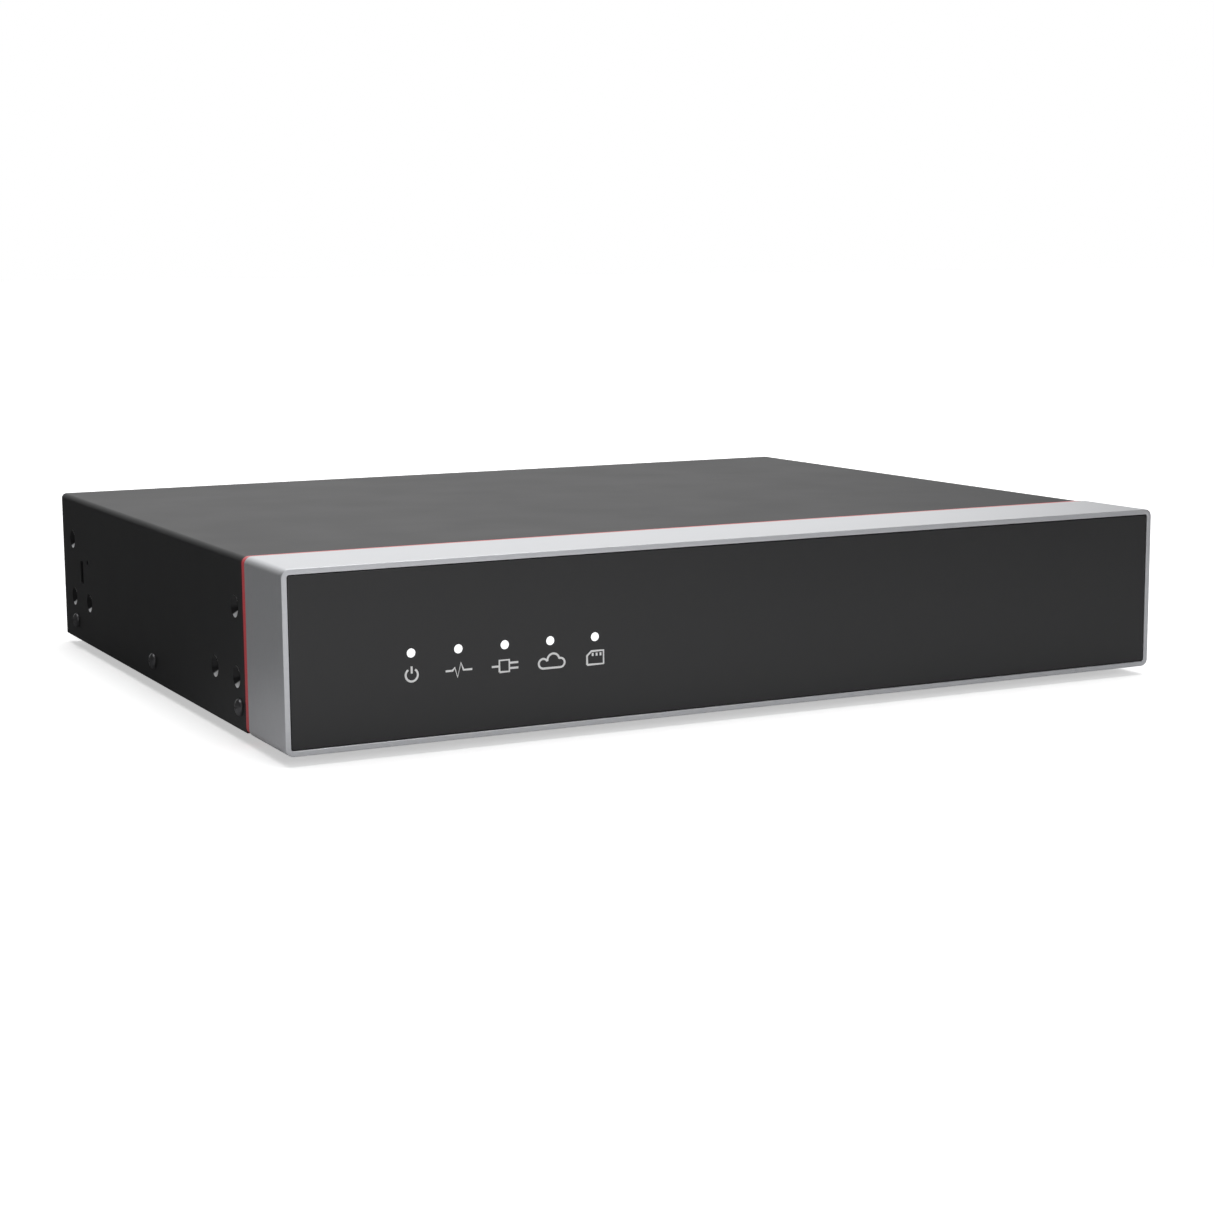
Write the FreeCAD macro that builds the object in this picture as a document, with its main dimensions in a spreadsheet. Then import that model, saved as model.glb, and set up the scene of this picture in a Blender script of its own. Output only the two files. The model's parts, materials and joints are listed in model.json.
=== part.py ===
import FreeCAD, Part
import math
import os
import re

import Sketcher

# A desktop video recorder for security cameras, one rack unit high, in millimetres.
# X runs across the front, Y from the front to the rear, Z up. The origin is on the
# table, under the middle of the recorder with its rear sockets.
# Each fixed size is a cell of the sheet, and each place is worked out from those cells.

SIZES = {
    # housing
    "case_w": 255.0, "case_d": 208.0, "case_h": 44.4, "front_y": -110.0, "foot_drop": 2.5,
    "frame_d": 27.2, "frame_wall": 1.4, "frame_r": 2.0,
    "strip_d": 2.6, "strip_inset": 0.2, "strip_wall": 2.0,
    "shell_inset": 0.4, "sheet_t": 1.0, "bend_r": 1.5, "panel_inset": 0.4,
    "gap": 0.1, "flange_h": 8.6, "wall_drop": 0.5,
    # front panel and its lamps
    "panel_t": 3.0, "led_x": -95.5, "led_pitch": 12.25, "pipe_r": 1.2, "pipe_hole_r": 1.27,
    "post_r": 2.5, "post_l": 4.0, "led_board_w": 76.0, "led_board_h": 18.0, "post_step": 68.0,
    "boss_x": 100.0, "boss_r": 3.5, "boss_rise": 7.0, "boss_l": 19.0,
    # rack ear holes, lock slot and cover screws in the side walls
    "ear_front": 37.0, "ear_rear": 196.5, "ear_low": 13.4, "ear_pitch": 17.6,
    "ear_mouth_r": 2.8, "ear_hole_r": 1.5, "ear_collar_r": 3.5, "ear_collar_l": 1.6,
    "vent_pitch": 4.0, "vent_w": 2.2, "lock_y": 186.5, "lock_z": 21.8, "lock_w": 3.0, "lock_h": 7.0,
    "pin_y": 179.6, "pin_z": 25.3, "pin_r": 0.9,
    "side_screw_z": 6.1, "side_screw_1": 35.0, "side_screw_2": 111.0, "side_screw_3": 194.5,
    # fasteners
    "head_r": 2.4, "head_h": 1.6, "shank_r": 1.4, "shank_l": 4.0, "cross_w": 0.6,
    "cross_l": 3.0, "cross_d": 0.9, "clear_r": 1.5,
    # vent slots in the floor and the rear wall, and the window for the lamp lead
    "slot_w": 2.4, "slot_pitch": 5.0, "floor_slot_x": -71.0, "floor_slot_y": -46.0,
    "floor_slot_l": 20.0, "floor_slot_row": 28.0, "rear_slot_x": -28.0, "rear_slot_z": 31.0,
    "rear_slot_h": 9.0, "window_x": 85.0, "window_w": 20.0, "window_h": 16.0,
    # feet and wall hangers
    "foot_x": 100.0, "foot_front": -62.0, "foot_rear": 78.0, "foot_r": 8.0, "foot_well_r": 4.2,
    "foot_well_d": 1.7, "key_x": 60.0, "key_y": 50.0, "key_r": 4.5, "key_w": 4.2, "key_l": 9.0,
    # fan
    "fan_y": -22.0, "fan_z": 24.7, "fan_w": 40.0, "fan_t": 10.0, "fan_bore_r": 18.9,
    "fan_hub_r": 11.0, "fan_blade_r": 18.0, "fan_hole": 32.0, "bracket_w": 48.0, "vent_r": 17.5,
    # hard drive
    "drive_x": -36.5, "drive_y": -75.0, "drive_w": 147.0, "drive_d": 101.6, "drive_h": 26.1,
    "lid_t": 0.8, "disc_x": -59.2, "disc_r": 47.5, "disc_t": 1.27, "hub_r": 12.4,
    "disc_low": 10.1, "disc_step": 5.0, "rack_1": 41.28, "rack_2": 85.73, "rack_half": 47.625,
    "pivot_x": -2.2, "pivot_y": -42.0, "arm_l": 45.0, "arm_park": 108.4,
    # main board
    "standoff_h": 5.0, "board_t": 1.6, "board_w": 224.0, "board_d": 62.0, "board_y": 34.0,
    "standoff_x": 106.0, "standoff_front": 40.0, "standoff_rear": 72.0, "chip_y": 50.0,
    "sink_x": 34.0, "sink_y": 46.0, "sink_w": 30.0, "sink_h": 3.1, "fin_pitch": 4.8, "fin_h": 11.0,
    "cell_x": -78.0, "cell_y": 58.0, "cell_r": 10.0, "header_y": 38.0,
    # rear sockets, from one side to the other
    "bnc_x": -84.75, "bnc_pitch": 15.5, "bnc_low": 19.5, "bnc_ring_r": 6.2, "bnc_r": 4.8,
    "bnc_bore_r": 4.0, "bnc_tip": 110.0,
    "audio_x": -44.0, "audio_low": 19.0, "monitor_x": -17.5, "screen_x": 8.5, "net_x": 26.5,
    "serial_x": 44.25, "card_x": 61.25, "reset_x": 74.5, "plug_x": 88.0, "jack_x": 103.0,
    "monitor_screw": 12.5, "monitor_z": 6.3, "net_w": 16.0, "net_d": 21.0, "net_h": 13.5,
    "serial_w": 14.5, "serial_d": 18.0, "serial_h": 15.7, "mouth_d": 14.0, "jack_z": 6.5,
    "jack_bore_r": 3.15, "ground_z": 22.5, "reset_z": 4.5, "way_pitch": 3.81,
    "block_front": 82.0, "video_front": 78.0,
    "rocker_x": 117.0, "rocker_z": 24.0, "rocker_pivot": 95.0, "rocker_tilt": 10.0,
}

PLACES = {
    "half_w": "case_w / 2",
    "rear_y": "front_y + case_d",
    "frame_top": "foot_drop + case_h",
    "mid_z": "foot_drop + case_h / 2",
    "strip_y": "front_y + frame_d",
    "shell_y": "strip_y + strip_d",
    "shell_half": "half_w - shell_inset",
    "shell_top": "frame_top - shell_inset",
    "under_z": "foot_drop + shell_inset",
    "floor_z": "under_z + sheet_t",
    "ceiling_z": "shell_top - sheet_t",
    "tray_half": "shell_half - sheet_t - gap",
    "back_y": "rear_y - panel_inset",
    "wall_y": "back_y - sheet_t",
    "board_z": "floor_z + standoff_h",
    "deck_z": "board_z + board_t",
    "panel_back": "front_y + panel_t",
    "led_board_y": "panel_back + post_l",
    "led_board_x": "led_x + 2 * led_pitch",
    "drive_mid": "drive_y + drive_d / 2",
    "drive_top": "board_z + drive_h",
    "drive_end": "drive_x + drive_w / 2",
    "fan_x": "tray_half - sheet_t - fan_t - gap",
    "plug_z": "deck_z + 6",
}

TURNS = {
    "z": FreeCAD.Rotation(),
    "-z": FreeCAD.Rotation(FreeCAD.Vector(1, 0, 0), 180),
    "x": FreeCAD.Rotation(FreeCAD.Vector(0, 1, 0), 90),
    "-x": FreeCAD.Rotation(FreeCAD.Vector(0, 1, 0), -90),
    "y": FreeCAD.Rotation(FreeCAD.Vector(1, 0, 0), -90),
    "-y": FreeCAD.Rotation(FreeCAD.Vector(1, 0, 0), 90),
}

document = FreeCAD.newDocument("Recorder")
sheet = document.addObject("Spreadsheet::Sheet", "Dims")
nodes = []


# ---- the sheet, and sizes bound to it ----

def fill_sheet():
    """Write each size beside its name."""
    for row, (alias, size) in enumerate(SIZES.items(), 1):
        sheet.set(f"A{row}", alias.replace("_", " "))
        sheet.set(f"B{row}", str(size))
        sheet.setAlias(f"B{row}", alias)
    document.recompute()


def expression(text):
    """Spell out the places in an expression and point its sizes at their cells."""
    def spell(match):
        word = match.group(0)
        if word in PLACES:
            return "(" + expression(PLACES[word]) + ")"
        return "Dims." + word if word in SIZES else word
    return re.sub(r"[a-z]\w*", spell, str(text))


def measure(text):
    """The present value of an expression."""
    return float(sheet.evalExpression(expression(text)))


def bind(item, **sizes):
    """Bind an object's sizes to expressions."""
    for name, text in sizes.items():
        item.setExpression(name, expression(text))


def place(item, x, y, z):
    """Bind an object's place to expressions."""
    for axis, text in zip("xyz", (x, y, z)):
        item.setExpression("Placement.Base." + axis, expression(text))


def node(name, item):
    """Keep an object as one of the recorder's pieces."""
    item.Label = name
    nodes.append(item)
    return item


# ---- plain solids ----

def block(x, y, z, length, width, height):
    """A box, by the middle of its length, its front face and its underside."""
    item = document.addObject("Part::Box", "Block")
    bind(item, Length=length, Width=width, Height=height)
    place(item, f"({x}) - ({length}) / 2", y, z)
    return item


def rod(x, y, z, radius, length, way="z"):
    """A cylinder, by the middle of its first end and the way it points."""
    item = document.addObject("Part::Cylinder", "Rod")
    bind(item, Radius=radius, Height=length)
    item.Placement.Rotation = TURNS[way]
    place(item, x, y, z)
    return item


def taper(x, y, z, radius, end_radius, length, way="z"):
    """A cone that narrows from its first end to its last."""
    item = document.addObject("Part::Cone", "Taper")
    bind(item, Radius1=radius, Radius2=end_radius, Height=length)
    item.Placement.Rotation = TURNS[way]
    place(item, x, y, z)
    return item


def hexagon(x, y, z, radius, length, way="z"):
    """A six-sided bar."""
    item = document.addObject("Part::Prism", "Hexagon")
    item.Polygon = 6
    bind(item, Circumradius=radius, Height=length)
    item.Placement.Rotation = TURNS[way]
    place(item, x, y, z)
    return item


def fuse(*items):
    item = document.addObject("Part::MultiFuse", "Fuse")
    item.Shapes = list(items)
    return item


def cut(base, *tools):
    item = document.addObject("Part::Cut", "Cut")
    item.Base = base
    item.Tool = tools[0] if len(tools) == 1 else fuse(*tools)
    return item


def group(items):
    item = document.addObject("Part::Compound", "Group")
    item.Links = list(items)
    return item


def round_upright(item, radius, way):
    """Round the edges of a box-like solid that run one way."""
    document.recompute()
    size = {"x": "XLength", "y": "YLength", "z": "ZLength"}[way]
    reach = getattr(item.Shape.BoundBox, size)
    rounded = document.addObject("Part::Fillet", "Rounded")
    rounded.Base = item
    value = measure(radius)
    rounded.Edges = [(number, value, value) for number, edge in enumerate(item.Shape.Edges, 1)
                     if getattr(edge.BoundBox, size) > reach - 0.01]
    return rounded


# ---- bodies with sketches ----

def new_body(name, x="0", y="0", z="0"):
    body = document.addObject("PartDesign::Body", name)
    place(body, x, y, z)
    return body


def sketch_on(body, role):
    """An empty sketch on one of the body's own origin planes."""
    plane = next(item for item in body.Origin.OriginFeatures if item.Role == role)
    sketch = body.newObject("Sketcher::SketchObject", "Sketch")
    sketch.AttachmentSupport = [(plane, "")]
    sketch.MapMode = "FlatFace"
    return sketch


def fix(sketch, kind, name, first, second, text):
    """Dimension a point of a sketch from its origin, or a circle by its radius."""
    value = measure(text)
    if kind == "Radius":
        number = sketch.addConstraint(Sketcher.Constraint(kind, first, value))
    else:
        number = sketch.addConstraint(Sketcher.Constraint(kind, -1, 1, first, second, value))
    sketch.renameConstraint(number, name)
    sketch.setExpression("Constraints." + name, expression(text))


def draw_outline(sketch, corners):
    """A closed outline of straight sides, each corner dimensioned."""
    first = sketch.GeometryCount
    points = [FreeCAD.Vector(measure(x), measure(y), 0) for x, y in corners]
    count = len(points)
    for number in range(count):
        side = Part.LineSegment(points[number], points[(number + 1) % count])
        sketch.addGeometry(side)
    for number in range(count):
        following = first + (number + 1) % count
        sketch.addConstraint(Sketcher.Constraint("Coincident", first + number, 2, following, 1))
    for number, (x, y) in enumerate(corners, first):
        fix(sketch, "DistanceX", f"across{number}", number, 1, x)
        fix(sketch, "DistanceY", f"up{number}", number, 1, y)


def draw_circle(sketch, x, y, radius):
    """A circle with its middle and radius dimensioned."""
    centre = FreeCAD.Vector(measure(x), measure(y), 0)
    number = sketch.addGeometry(Part.Circle(centre, FreeCAD.Vector(0, 0, 1), measure(radius)))
    fix(sketch, "DistanceX", f"across{number}", number, 3, x)
    fix(sketch, "DistanceY", f"up{number}", number, 3, y)
    fix(sketch, "Radius", f"radius{number}", number, 0, radius)


def rectangle(half, low, high):
    """The corners of a rectangle about the vertical axis."""
    return [(f"-({half})", low), (half, low), (half, high), (f"-({half})", high)]


def pad(body, sketch, length, backward=True):
    """Raise a sketch, by default towards the rear."""
    feature = body.newObject("PartDesign::Pad", "Pad")
    feature.Profile = sketch
    feature.Reversed = backward
    bind(feature, Length=length)
    document.recompute()
    return feature


def pocket(body, sketch):
    """Cut a sketch right through the body, and see that it cuts."""
    before = body.Shape.Volume
    feature = body.newObject("PartDesign::Pocket", "Pocket")
    feature.Profile = sketch
    feature.Type = "ThroughAll"
    document.recompute()
    if body.Shape.Volume > before - 0.01:
        raise RuntimeError(body.Label + ": a pocket cuts nothing")
    return feature


def round_body(body, radius, wanted):
    """Round the body's edges that run from front to rear and are wanted."""
    tip = body.Tip
    depth = tip.Shape.BoundBox.YLength
    names = [f"Edge{number}" for number, edge in enumerate(tip.Shape.Edges, 1)
             if edge.BoundBox.YLength > depth - 0.01 and wanted(edge.BoundBox.Center)]
    feature = body.newObject("PartDesign::Fillet", "Fillet")
    feature.Base = (tip, names)
    bind(feature, Radius=radius)
    document.recompute()


def lathe(name, profile):
    """Turn a profile of (radius, height) corners about the Z axis."""
    body = new_body(name)
    sketch = sketch_on(body, "XZ_Plane")
    draw_outline(sketch, profile)
    feature = body.newObject("PartDesign::Revolution", "Revolution")
    feature.Profile = sketch
    feature.ReferenceAxis = (sketch, ["V_Axis"])
    feature.Angle = 360
    document.recompute()
    return body


def copies(name, master, places):
    """One piece repeated: each place is x, y, z and the way its own Z axis points."""
    links = []
    for x, y, z, way in places:
        link = document.addObject("App::Link", "Copy")
        link.LinkedObject = master
        link.Placement = FreeCAD.Placement(FreeCAD.Vector(), TURNS[way])
        place(link, x, y, z)
        links.append(link)
    return node(name, group(links))


def screw(head_r="head_r", shank_r="shank_r", shank_l="shank_l"):
    """A pan-head screw: head up, underside of the head at zero."""
    turned = lathe("Screw", [
        ("0", f"-({shank_l})"), (f"({shank_r}) - 0.4", f"-({shank_l})"),
        (shank_r, f"-({shank_l}) + 0.4"), (shank_r, "0"), (head_r, "0"),
        (head_r, "head_h * 0.55"), (f"({head_r}) - 0.35", "head_h * 0.85"),
        (f"({head_r}) - 0.9", "head_h"), ("0", "head_h")])
    recess_y = "-cross_w / 2"
    one_way = block("0", recess_y, "head_h - cross_d", "cross_l", "cross_w", "cross_d + gap")
    other_way = block("0", "-cross_l / 2", "head_h - cross_d", "cross_w", "cross_l", "cross_d + gap")
    return cut(turned, one_way, other_way)


# ---- housing ----

def make_ring(name, y, depth, inset, corner, wall):
    """A rounded rectangular ring, the full section of the housing."""
    body = new_body(name, "0", y, "0")
    outer = sketch_on(body, "XZ_Plane")
    draw_outline(outer, rectangle(f"half_w - {inset}", f"foot_drop + {inset}", f"frame_top - {inset}"))
    pad(body, outer, depth)
    round_body(body, corner, lambda centre: True)
    inner = sketch_on(body, "XZ_Plane")
    draw_outline(inner, rectangle(f"half_w - {inset} - {wall}", f"foot_drop + {inset} + {wall}",
                                  f"frame_top - {inset} - {wall}"))
    pocket(body, inner)
    return body


def boss_places():
    """The middle of each boss in the front frame."""
    low = "foot_drop + boss_rise"
    high = "frame_top - boss_rise"
    return [(f"{side} * boss_x", z) for side in (-1, 1) for z in (low, high)]


def make_front_frame():
    """The bright frame round the front, with four bosses for the screws of the chassis."""
    ring = make_ring("FrameRing", "front_y", "frame_d", "0", "frame_r", "frame_wall")
    bosses = []
    holes = []
    for x, z in boss_places():
        bosses.append(rod(x, "shell_y - boss_l", z, "boss_r", "boss_l - gap / 2", "y"))
        root = "foot_drop + frame_wall / 2" if "top" not in z else z
        rise = "boss_rise - frame_wall / 2"
        bosses.append(block(x, "shell_y - boss_l", root, "boss_r", "boss_l - strip_d - gap", rise))
        holes.append(rod(x, "shell_y - boss_l / 2", z, "clear_r", "boss_l", "y"))
    node("front_frame", cut(fuse(ring, *bosses), *holes))


def make_front_panel():
    """The dark panel in the frame, with a row of lamp holes and two posts behind."""
    body = new_body("PanelPlate", "0", "front_y", "0")
    plate = sketch_on(body, "XZ_Plane")
    draw_outline(plate, rectangle("half_w - frame_wall - gap", "foot_drop + frame_wall + gap",
                                  "frame_top - frame_wall - gap"))
    pad(body, plate, "panel_t")
    holes = sketch_on(body, "XZ_Plane")
    for number in range(5):
        draw_circle(holes, f"led_x + {number} * led_pitch", "mid_z", "pipe_hole_r")
    pocket(body, holes)
    posts = []
    bores = []
    for side in (-1, 1):
        x = f"led_board_x + {side} * post_step / 2"
        posts.append(rod(x, "panel_back - gap", "mid_z", "post_r", "post_l + gap", "y"))
        bores.append(rod(x, "panel_back", "mid_z", "clear_r", "post_l + gap", "y"))
    node("front_panel", cut(fuse(body, *posts), *bores))


def make_accent_strip():
    """The thin coloured band between the frame and the steel shell."""
    node("accent_strip", make_ring("StripRing", "strip_y", "strip_d", "strip_inset",
                                   "frame_r - strip_inset", "strip_wall"))


def ear_places():
    """The screw holes for rack ears: an L of three at each end of each side wall."""
    front = "front_y + ear_front"
    rear = "front_y + ear_rear"
    low = "foot_drop + ear_low"
    high = "foot_drop + ear_low + ear_pitch"
    return [(front, high), (front, low), (f"{front} + ear_pitch", low),
            (rear, high), (rear, low), (f"{rear} - ear_pitch", low)]


def side_screw_places():
    """The middle of each cover screw along a side wall."""
    return [f"front_y + side_screw_{number}" for number in (1, 2, 3)]


def side_cuts(side):
    """The holes that the two side walls share."""
    outward = "x" if side > 0 else "-x"
    inward = "-x" if side > 0 else "x"
    face = f"{side} * shell_half"
    tools = []
    for y, z in ear_places():
        depth = "ear_mouth_r - ear_hole_r"
        tools.append(taper(face, y, z, "ear_mouth_r", "ear_hole_r", depth, inward))
        tools.append(rod(f"{side} * (shell_half - 4)", y, z, "ear_hole_r", "4", outward))
    for y in side_screw_places():
        z = "foot_drop + side_screw_z"
        tools.append(rod(f"{side} * (shell_half - 2)", y, z, "clear_r", "3", outward))
    return tools


def make_top_cover():
    """The folded steel cover: a top and two sides with rolled bends."""
    body = new_body("CoverSheet", "0", "shell_y", "0")
    section = sketch_on(body, "XZ_Plane")
    inner = "shell_half - sheet_t"
    draw_outline(section, [
        ("-shell_half", "under_z"), (f"-({inner})", "under_z"), (f"-({inner})", "ceiling_z"),
        (inner, "ceiling_z"), (inner, "under_z"), ("shell_half", "under_z"),
        ("shell_half", "shell_top"), ("-shell_half", "shell_top")])
    pad(body, section, "rear_y - shell_y")
    top = measure("shell_top")
    ceiling = measure("ceiling_z")
    round_body(body, "bend_r", lambda centre: abs(centre.z - top) < 0.01)
    round_body(body, "bend_r - sheet_t", lambda centre: abs(centre.z - ceiling) < 0.01)
    collars = []
    tools = []
    for side in (-1, 1):
        way = "-x" if side > 0 else "x"
        for y, z in ear_places():
            collars.append(rod(f"{side} * (shell_half - sheet_t / 2)", y, z, "ear_collar_r",
                               "ear_collar_l + sheet_t / 2", way))
        tools += side_cuts(side)
    tools += lock_cuts() + fan_vents()
    node("top_cover", cut(fuse(body, *collars), *tools))


def lock_cuts():
    """The upright slot for a cable lock and the small hole beside it, on the left side."""
    y = "front_y + lock_y"
    z = "foot_drop + lock_z"
    x = "-shell_half - 1"
    straight = "lock_h - lock_w"
    return [block("-shell_half", f"{y} - lock_w / 2", f"{z} - ({straight}) / 2", "4", "lock_w", straight),
            rod(x, y, f"{z} - ({straight}) / 2", "lock_w / 2", "3", "x"),
            rod(x, y, f"{z} + ({straight}) / 2", "lock_w / 2", "3", "x"),
            rod(x, "front_y + pin_y", "foot_drop + pin_z", "pin_r", "3", "x")]


def fan_vents():
    """Upright slots over the fan in the right side wall."""
    tools = []
    for number in range(-4, 5):
        offset = f"(vent_pitch * {number})"
        height = f"2 * sqrt(vent_r * vent_r - {offset} * {offset})"
        tools.append(block("shell_half", f"fan_y + {offset} - vent_w / 2", f"fan_z - ({height}) / 2",
                           "4", "vent_w", height))
    return tools


def tray_walls():
    """The floor, the low side flanges, the end walls and the fan's bracket."""
    depth = "back_y - shell_y"
    walls = [block("0", "shell_y", "under_z", "2 * tray_half", depth, "sheet_t"),
             block("0", "shell_y", "under_z", "2 * (tray_half - gap)", "sheet_t",
                   "ceiling_z - wall_drop - under_z"),
             block("0", "wall_y", "under_z", "2 * tray_half", "sheet_t",
                   "ceiling_z - wall_drop - under_z"),
             block("tray_half - sheet_t / 2", "fan_y - bracket_w / 2", "under_z", "sheet_t",
                   "bracket_w", "ceiling_z - wall_drop - under_z")]
    for side in (-1, 1):
        walls.append(block(f"{side} * (tray_half - sheet_t / 2)", "shell_y", "under_z", "sheet_t",
                           depth, "flange_h"))
    return walls


def tray_floor_cuts():
    """Holes in the floor: feet, wall hangers, drive screws and vents."""
    tools = []
    for x, y in foot_places():
        tools.append(rod(x, y, "under_z - 1", "clear_r", "sheet_t + 2"))
    for side in (-1, 1):
        x = f"{side} * key_x"
        tools.append(rod(x, "key_y", "under_z - 1", "key_r", "sheet_t + 2"))
        tools.append(block(x, "key_y", "under_z - 1", "key_w", "key_l", "sheet_t + 2"))
        tools.append(rod(x, "key_y + key_l", "under_z - 1", "key_w / 2", "sheet_t + 2"))
    for x, y in drive_screw_places():
        tools.append(rod(x, y, "under_z - 1", "4", "sheet_t + 2"))
    for row in range(2):
        for number in range(14):
            tools.append(block(f"floor_slot_x + {number} * slot_pitch",
                               f"floor_slot_y + {row} * floor_slot_row", "under_z - 1",
                               "slot_w", "floor_slot_l", "sheet_t + 2"))
    return tools


def tray_front_cuts():
    """Holes in the front wall: four screws and the window for the lamp lead."""
    tools = [rod(x, "shell_y - 1", z, "clear_r", "sheet_t + 2", "y") for x, z in boss_places()]
    tools.append(block("window_x", "shell_y - 1", "mid_z - window_h / 2", "window_w", "sheet_t + 2",
                       "window_h"))
    return tools


def tray_rear_cuts():
    """Cut-outs in the rear wall for the sockets, and the vents above them."""
    y = "wall_y - 1"
    depth = "sheet_t + 2"
    tools = [rod(x, y, z, "bnc_ring_r + 0.3", depth, "y") for x, z in bnc_places()]
    tools += [rod("audio_x", y, z, "5.5", depth, "y") for z in audio_places()]
    for x, z, length, height in (
            ("monitor_x", "deck_z + 1.2", "18.4", "10.2"), ("screen_x", "deck_z - 0.2", "15.6", "6.4"),
            ("net_x", "deck_z - 0.2", "16.6", "14"), ("serial_x", "deck_z - 0.2", "15", "16.2"),
            ("card_x", "deck_z - 0.3", "15.2", "2.9"), ("plug_x", "deck_z - 0.2", "18.2", "8.1"),
            ("jack_x", "deck_z - 0.2", "9.6", "11.6"), ("rocker_x", "rocker_z - 9.5", "13.2", "19")):
        tools.append(block(x, y, z, length, depth, height))
    tools.append(rod("reset_x", y, "deck_z + reset_z", "1.5", depth, "y"))
    tools.append(rod("jack_x", y, "deck_z + ground_z", "clear_r", depth, "y"))
    for side in (-1, 1):
        tools.append(rod(f"monitor_x + {side} * monitor_screw", y, "deck_z + monitor_z", "1.6", depth, "y"))
    for number in range(25):
        tools.append(block(f"rear_slot_x + {number} * slot_pitch", y, "rear_slot_z", "slot_w", depth,
                           "rear_slot_h"))
    return tools


def make_base_tray():
    """The folded steel chassis that holds everything."""
    fan_x = "tray_half - 2"
    fan_cuts = [rod(fan_x, "fan_y", "fan_z", "fan_bore_r - 0.3", "4", "x")]
    for y, z in fan_hole_places():
        fan_cuts.append(rod(fan_x, y, z, "clear_r", "4", "x"))
    sides = []
    for side in (-1, 1):
        for y in side_screw_places():
            sides.append(rod(f"{side} * tray_half - 2", y, "foot_drop + side_screw_z",
                             "clear_r", "4", "x"))
    node("base_tray", cut(fuse(*tray_walls()), *tray_floor_cuts(), *tray_front_cuts(),
                          *tray_rear_cuts(), *fan_cuts, *sides))


def foot_places():
    return [(f"{side} * foot_x", y) for side in (-1, 1) for y in ("foot_front", "foot_rear")]


def make_feet():
    """Four round rubber feet, each held by a screw in its well."""
    foot = lathe("Foot", [
        ("1.6", "foot_well_d"), ("foot_well_r", "foot_well_d"), ("foot_well_r", "0"),
        ("foot_r - 1.2", "0"), ("foot_r - 0.6", "0.3"), ("foot_r", "under_z - 0.8"),
        ("foot_r", "under_z"), ("1.6", "under_z")])
    copies("rubber_feet", foot, [(x, y, "0", "z") for x, y in foot_places()])
    copies("foot_screws", screw("3", "shank_r", "3.4"),
           [(x, y, "foot_well_d", "-z") for x, y in foot_places()])


def make_screws():
    """The screws that hold the cover, and the like screws inside."""
    cover_screw = screw(shank_l="3")
    places = []
    for side, way in ((-1, "-x"), (1, "x")):
        for y in side_screw_places():
            places.append((f"{side} * shell_half", y, "foot_drop + side_screw_z", way))
    copies("cover_screws", cover_screw, places)
    inner = [(x, "shell_y + sheet_t", z, "y") for x, z in boss_places()]
    inner += [(x, y, "deck_z", "z") for x, y in standoff_places()]
    inner += [(f"led_board_x + {side} * post_step / 2", "led_board_y + board_t", "mid_z", "y")
              for side in (-1, 1)]
    copies("inner_screws", screw(), inner)
    copies("ground_screw", screw("3"), [("jack_x", "back_y", "deck_z + ground_z", "y")])


# ---- lamps behind the front panel ----

def make_lamps():
    """Light pipes through the front panel, with the lamps and their board."""
    pipe = lathe("Pipe", [
        ("0", "0.05"), ("pipe_r", "0.05"), ("pipe_r", "panel_t + gap"), ("2", "panel_t + gap"),
        ("2", "panel_t + 0.7"), ("pipe_r", "panel_t + 0.7"), ("pipe_r", "5.2"), ("0", "5.2")])
    columns = [f"led_x + {number} * led_pitch" for number in range(5)]
    copies("light_pipes", pipe, [(x, "front_y", "mid_z", "y") for x in columns])
    lamps = [block(x, "led_board_y - 1.4", "mid_z - 1.3", "3.2", "1.4", "2.6") for x in columns]
    node("led_lamps", group(lamps))
    board = block("led_board_x", "led_board_y", "mid_z - led_board_h / 2", "led_board_w",
                  "board_t", "led_board_h")
    header = block("led_board_x + 24", "led_board_y + board_t", "mid_z - 4", "10", "5", "8")
    holes = [rod(f"led_board_x + {side} * post_step / 2", "led_board_y - 1", "mid_z", "clear_r",
                 "4", "y") for side in (-1, 1)]
    node("led_board", cut(fuse(board, header), *holes))


# ---- fan ----

def fan_hole_places():
    return [(f"fan_y + {across} * fan_hole / 2", f"fan_z + {up} * fan_hole / 2")
            for across in (-1, 1) for up in (-1, 1)]


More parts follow.
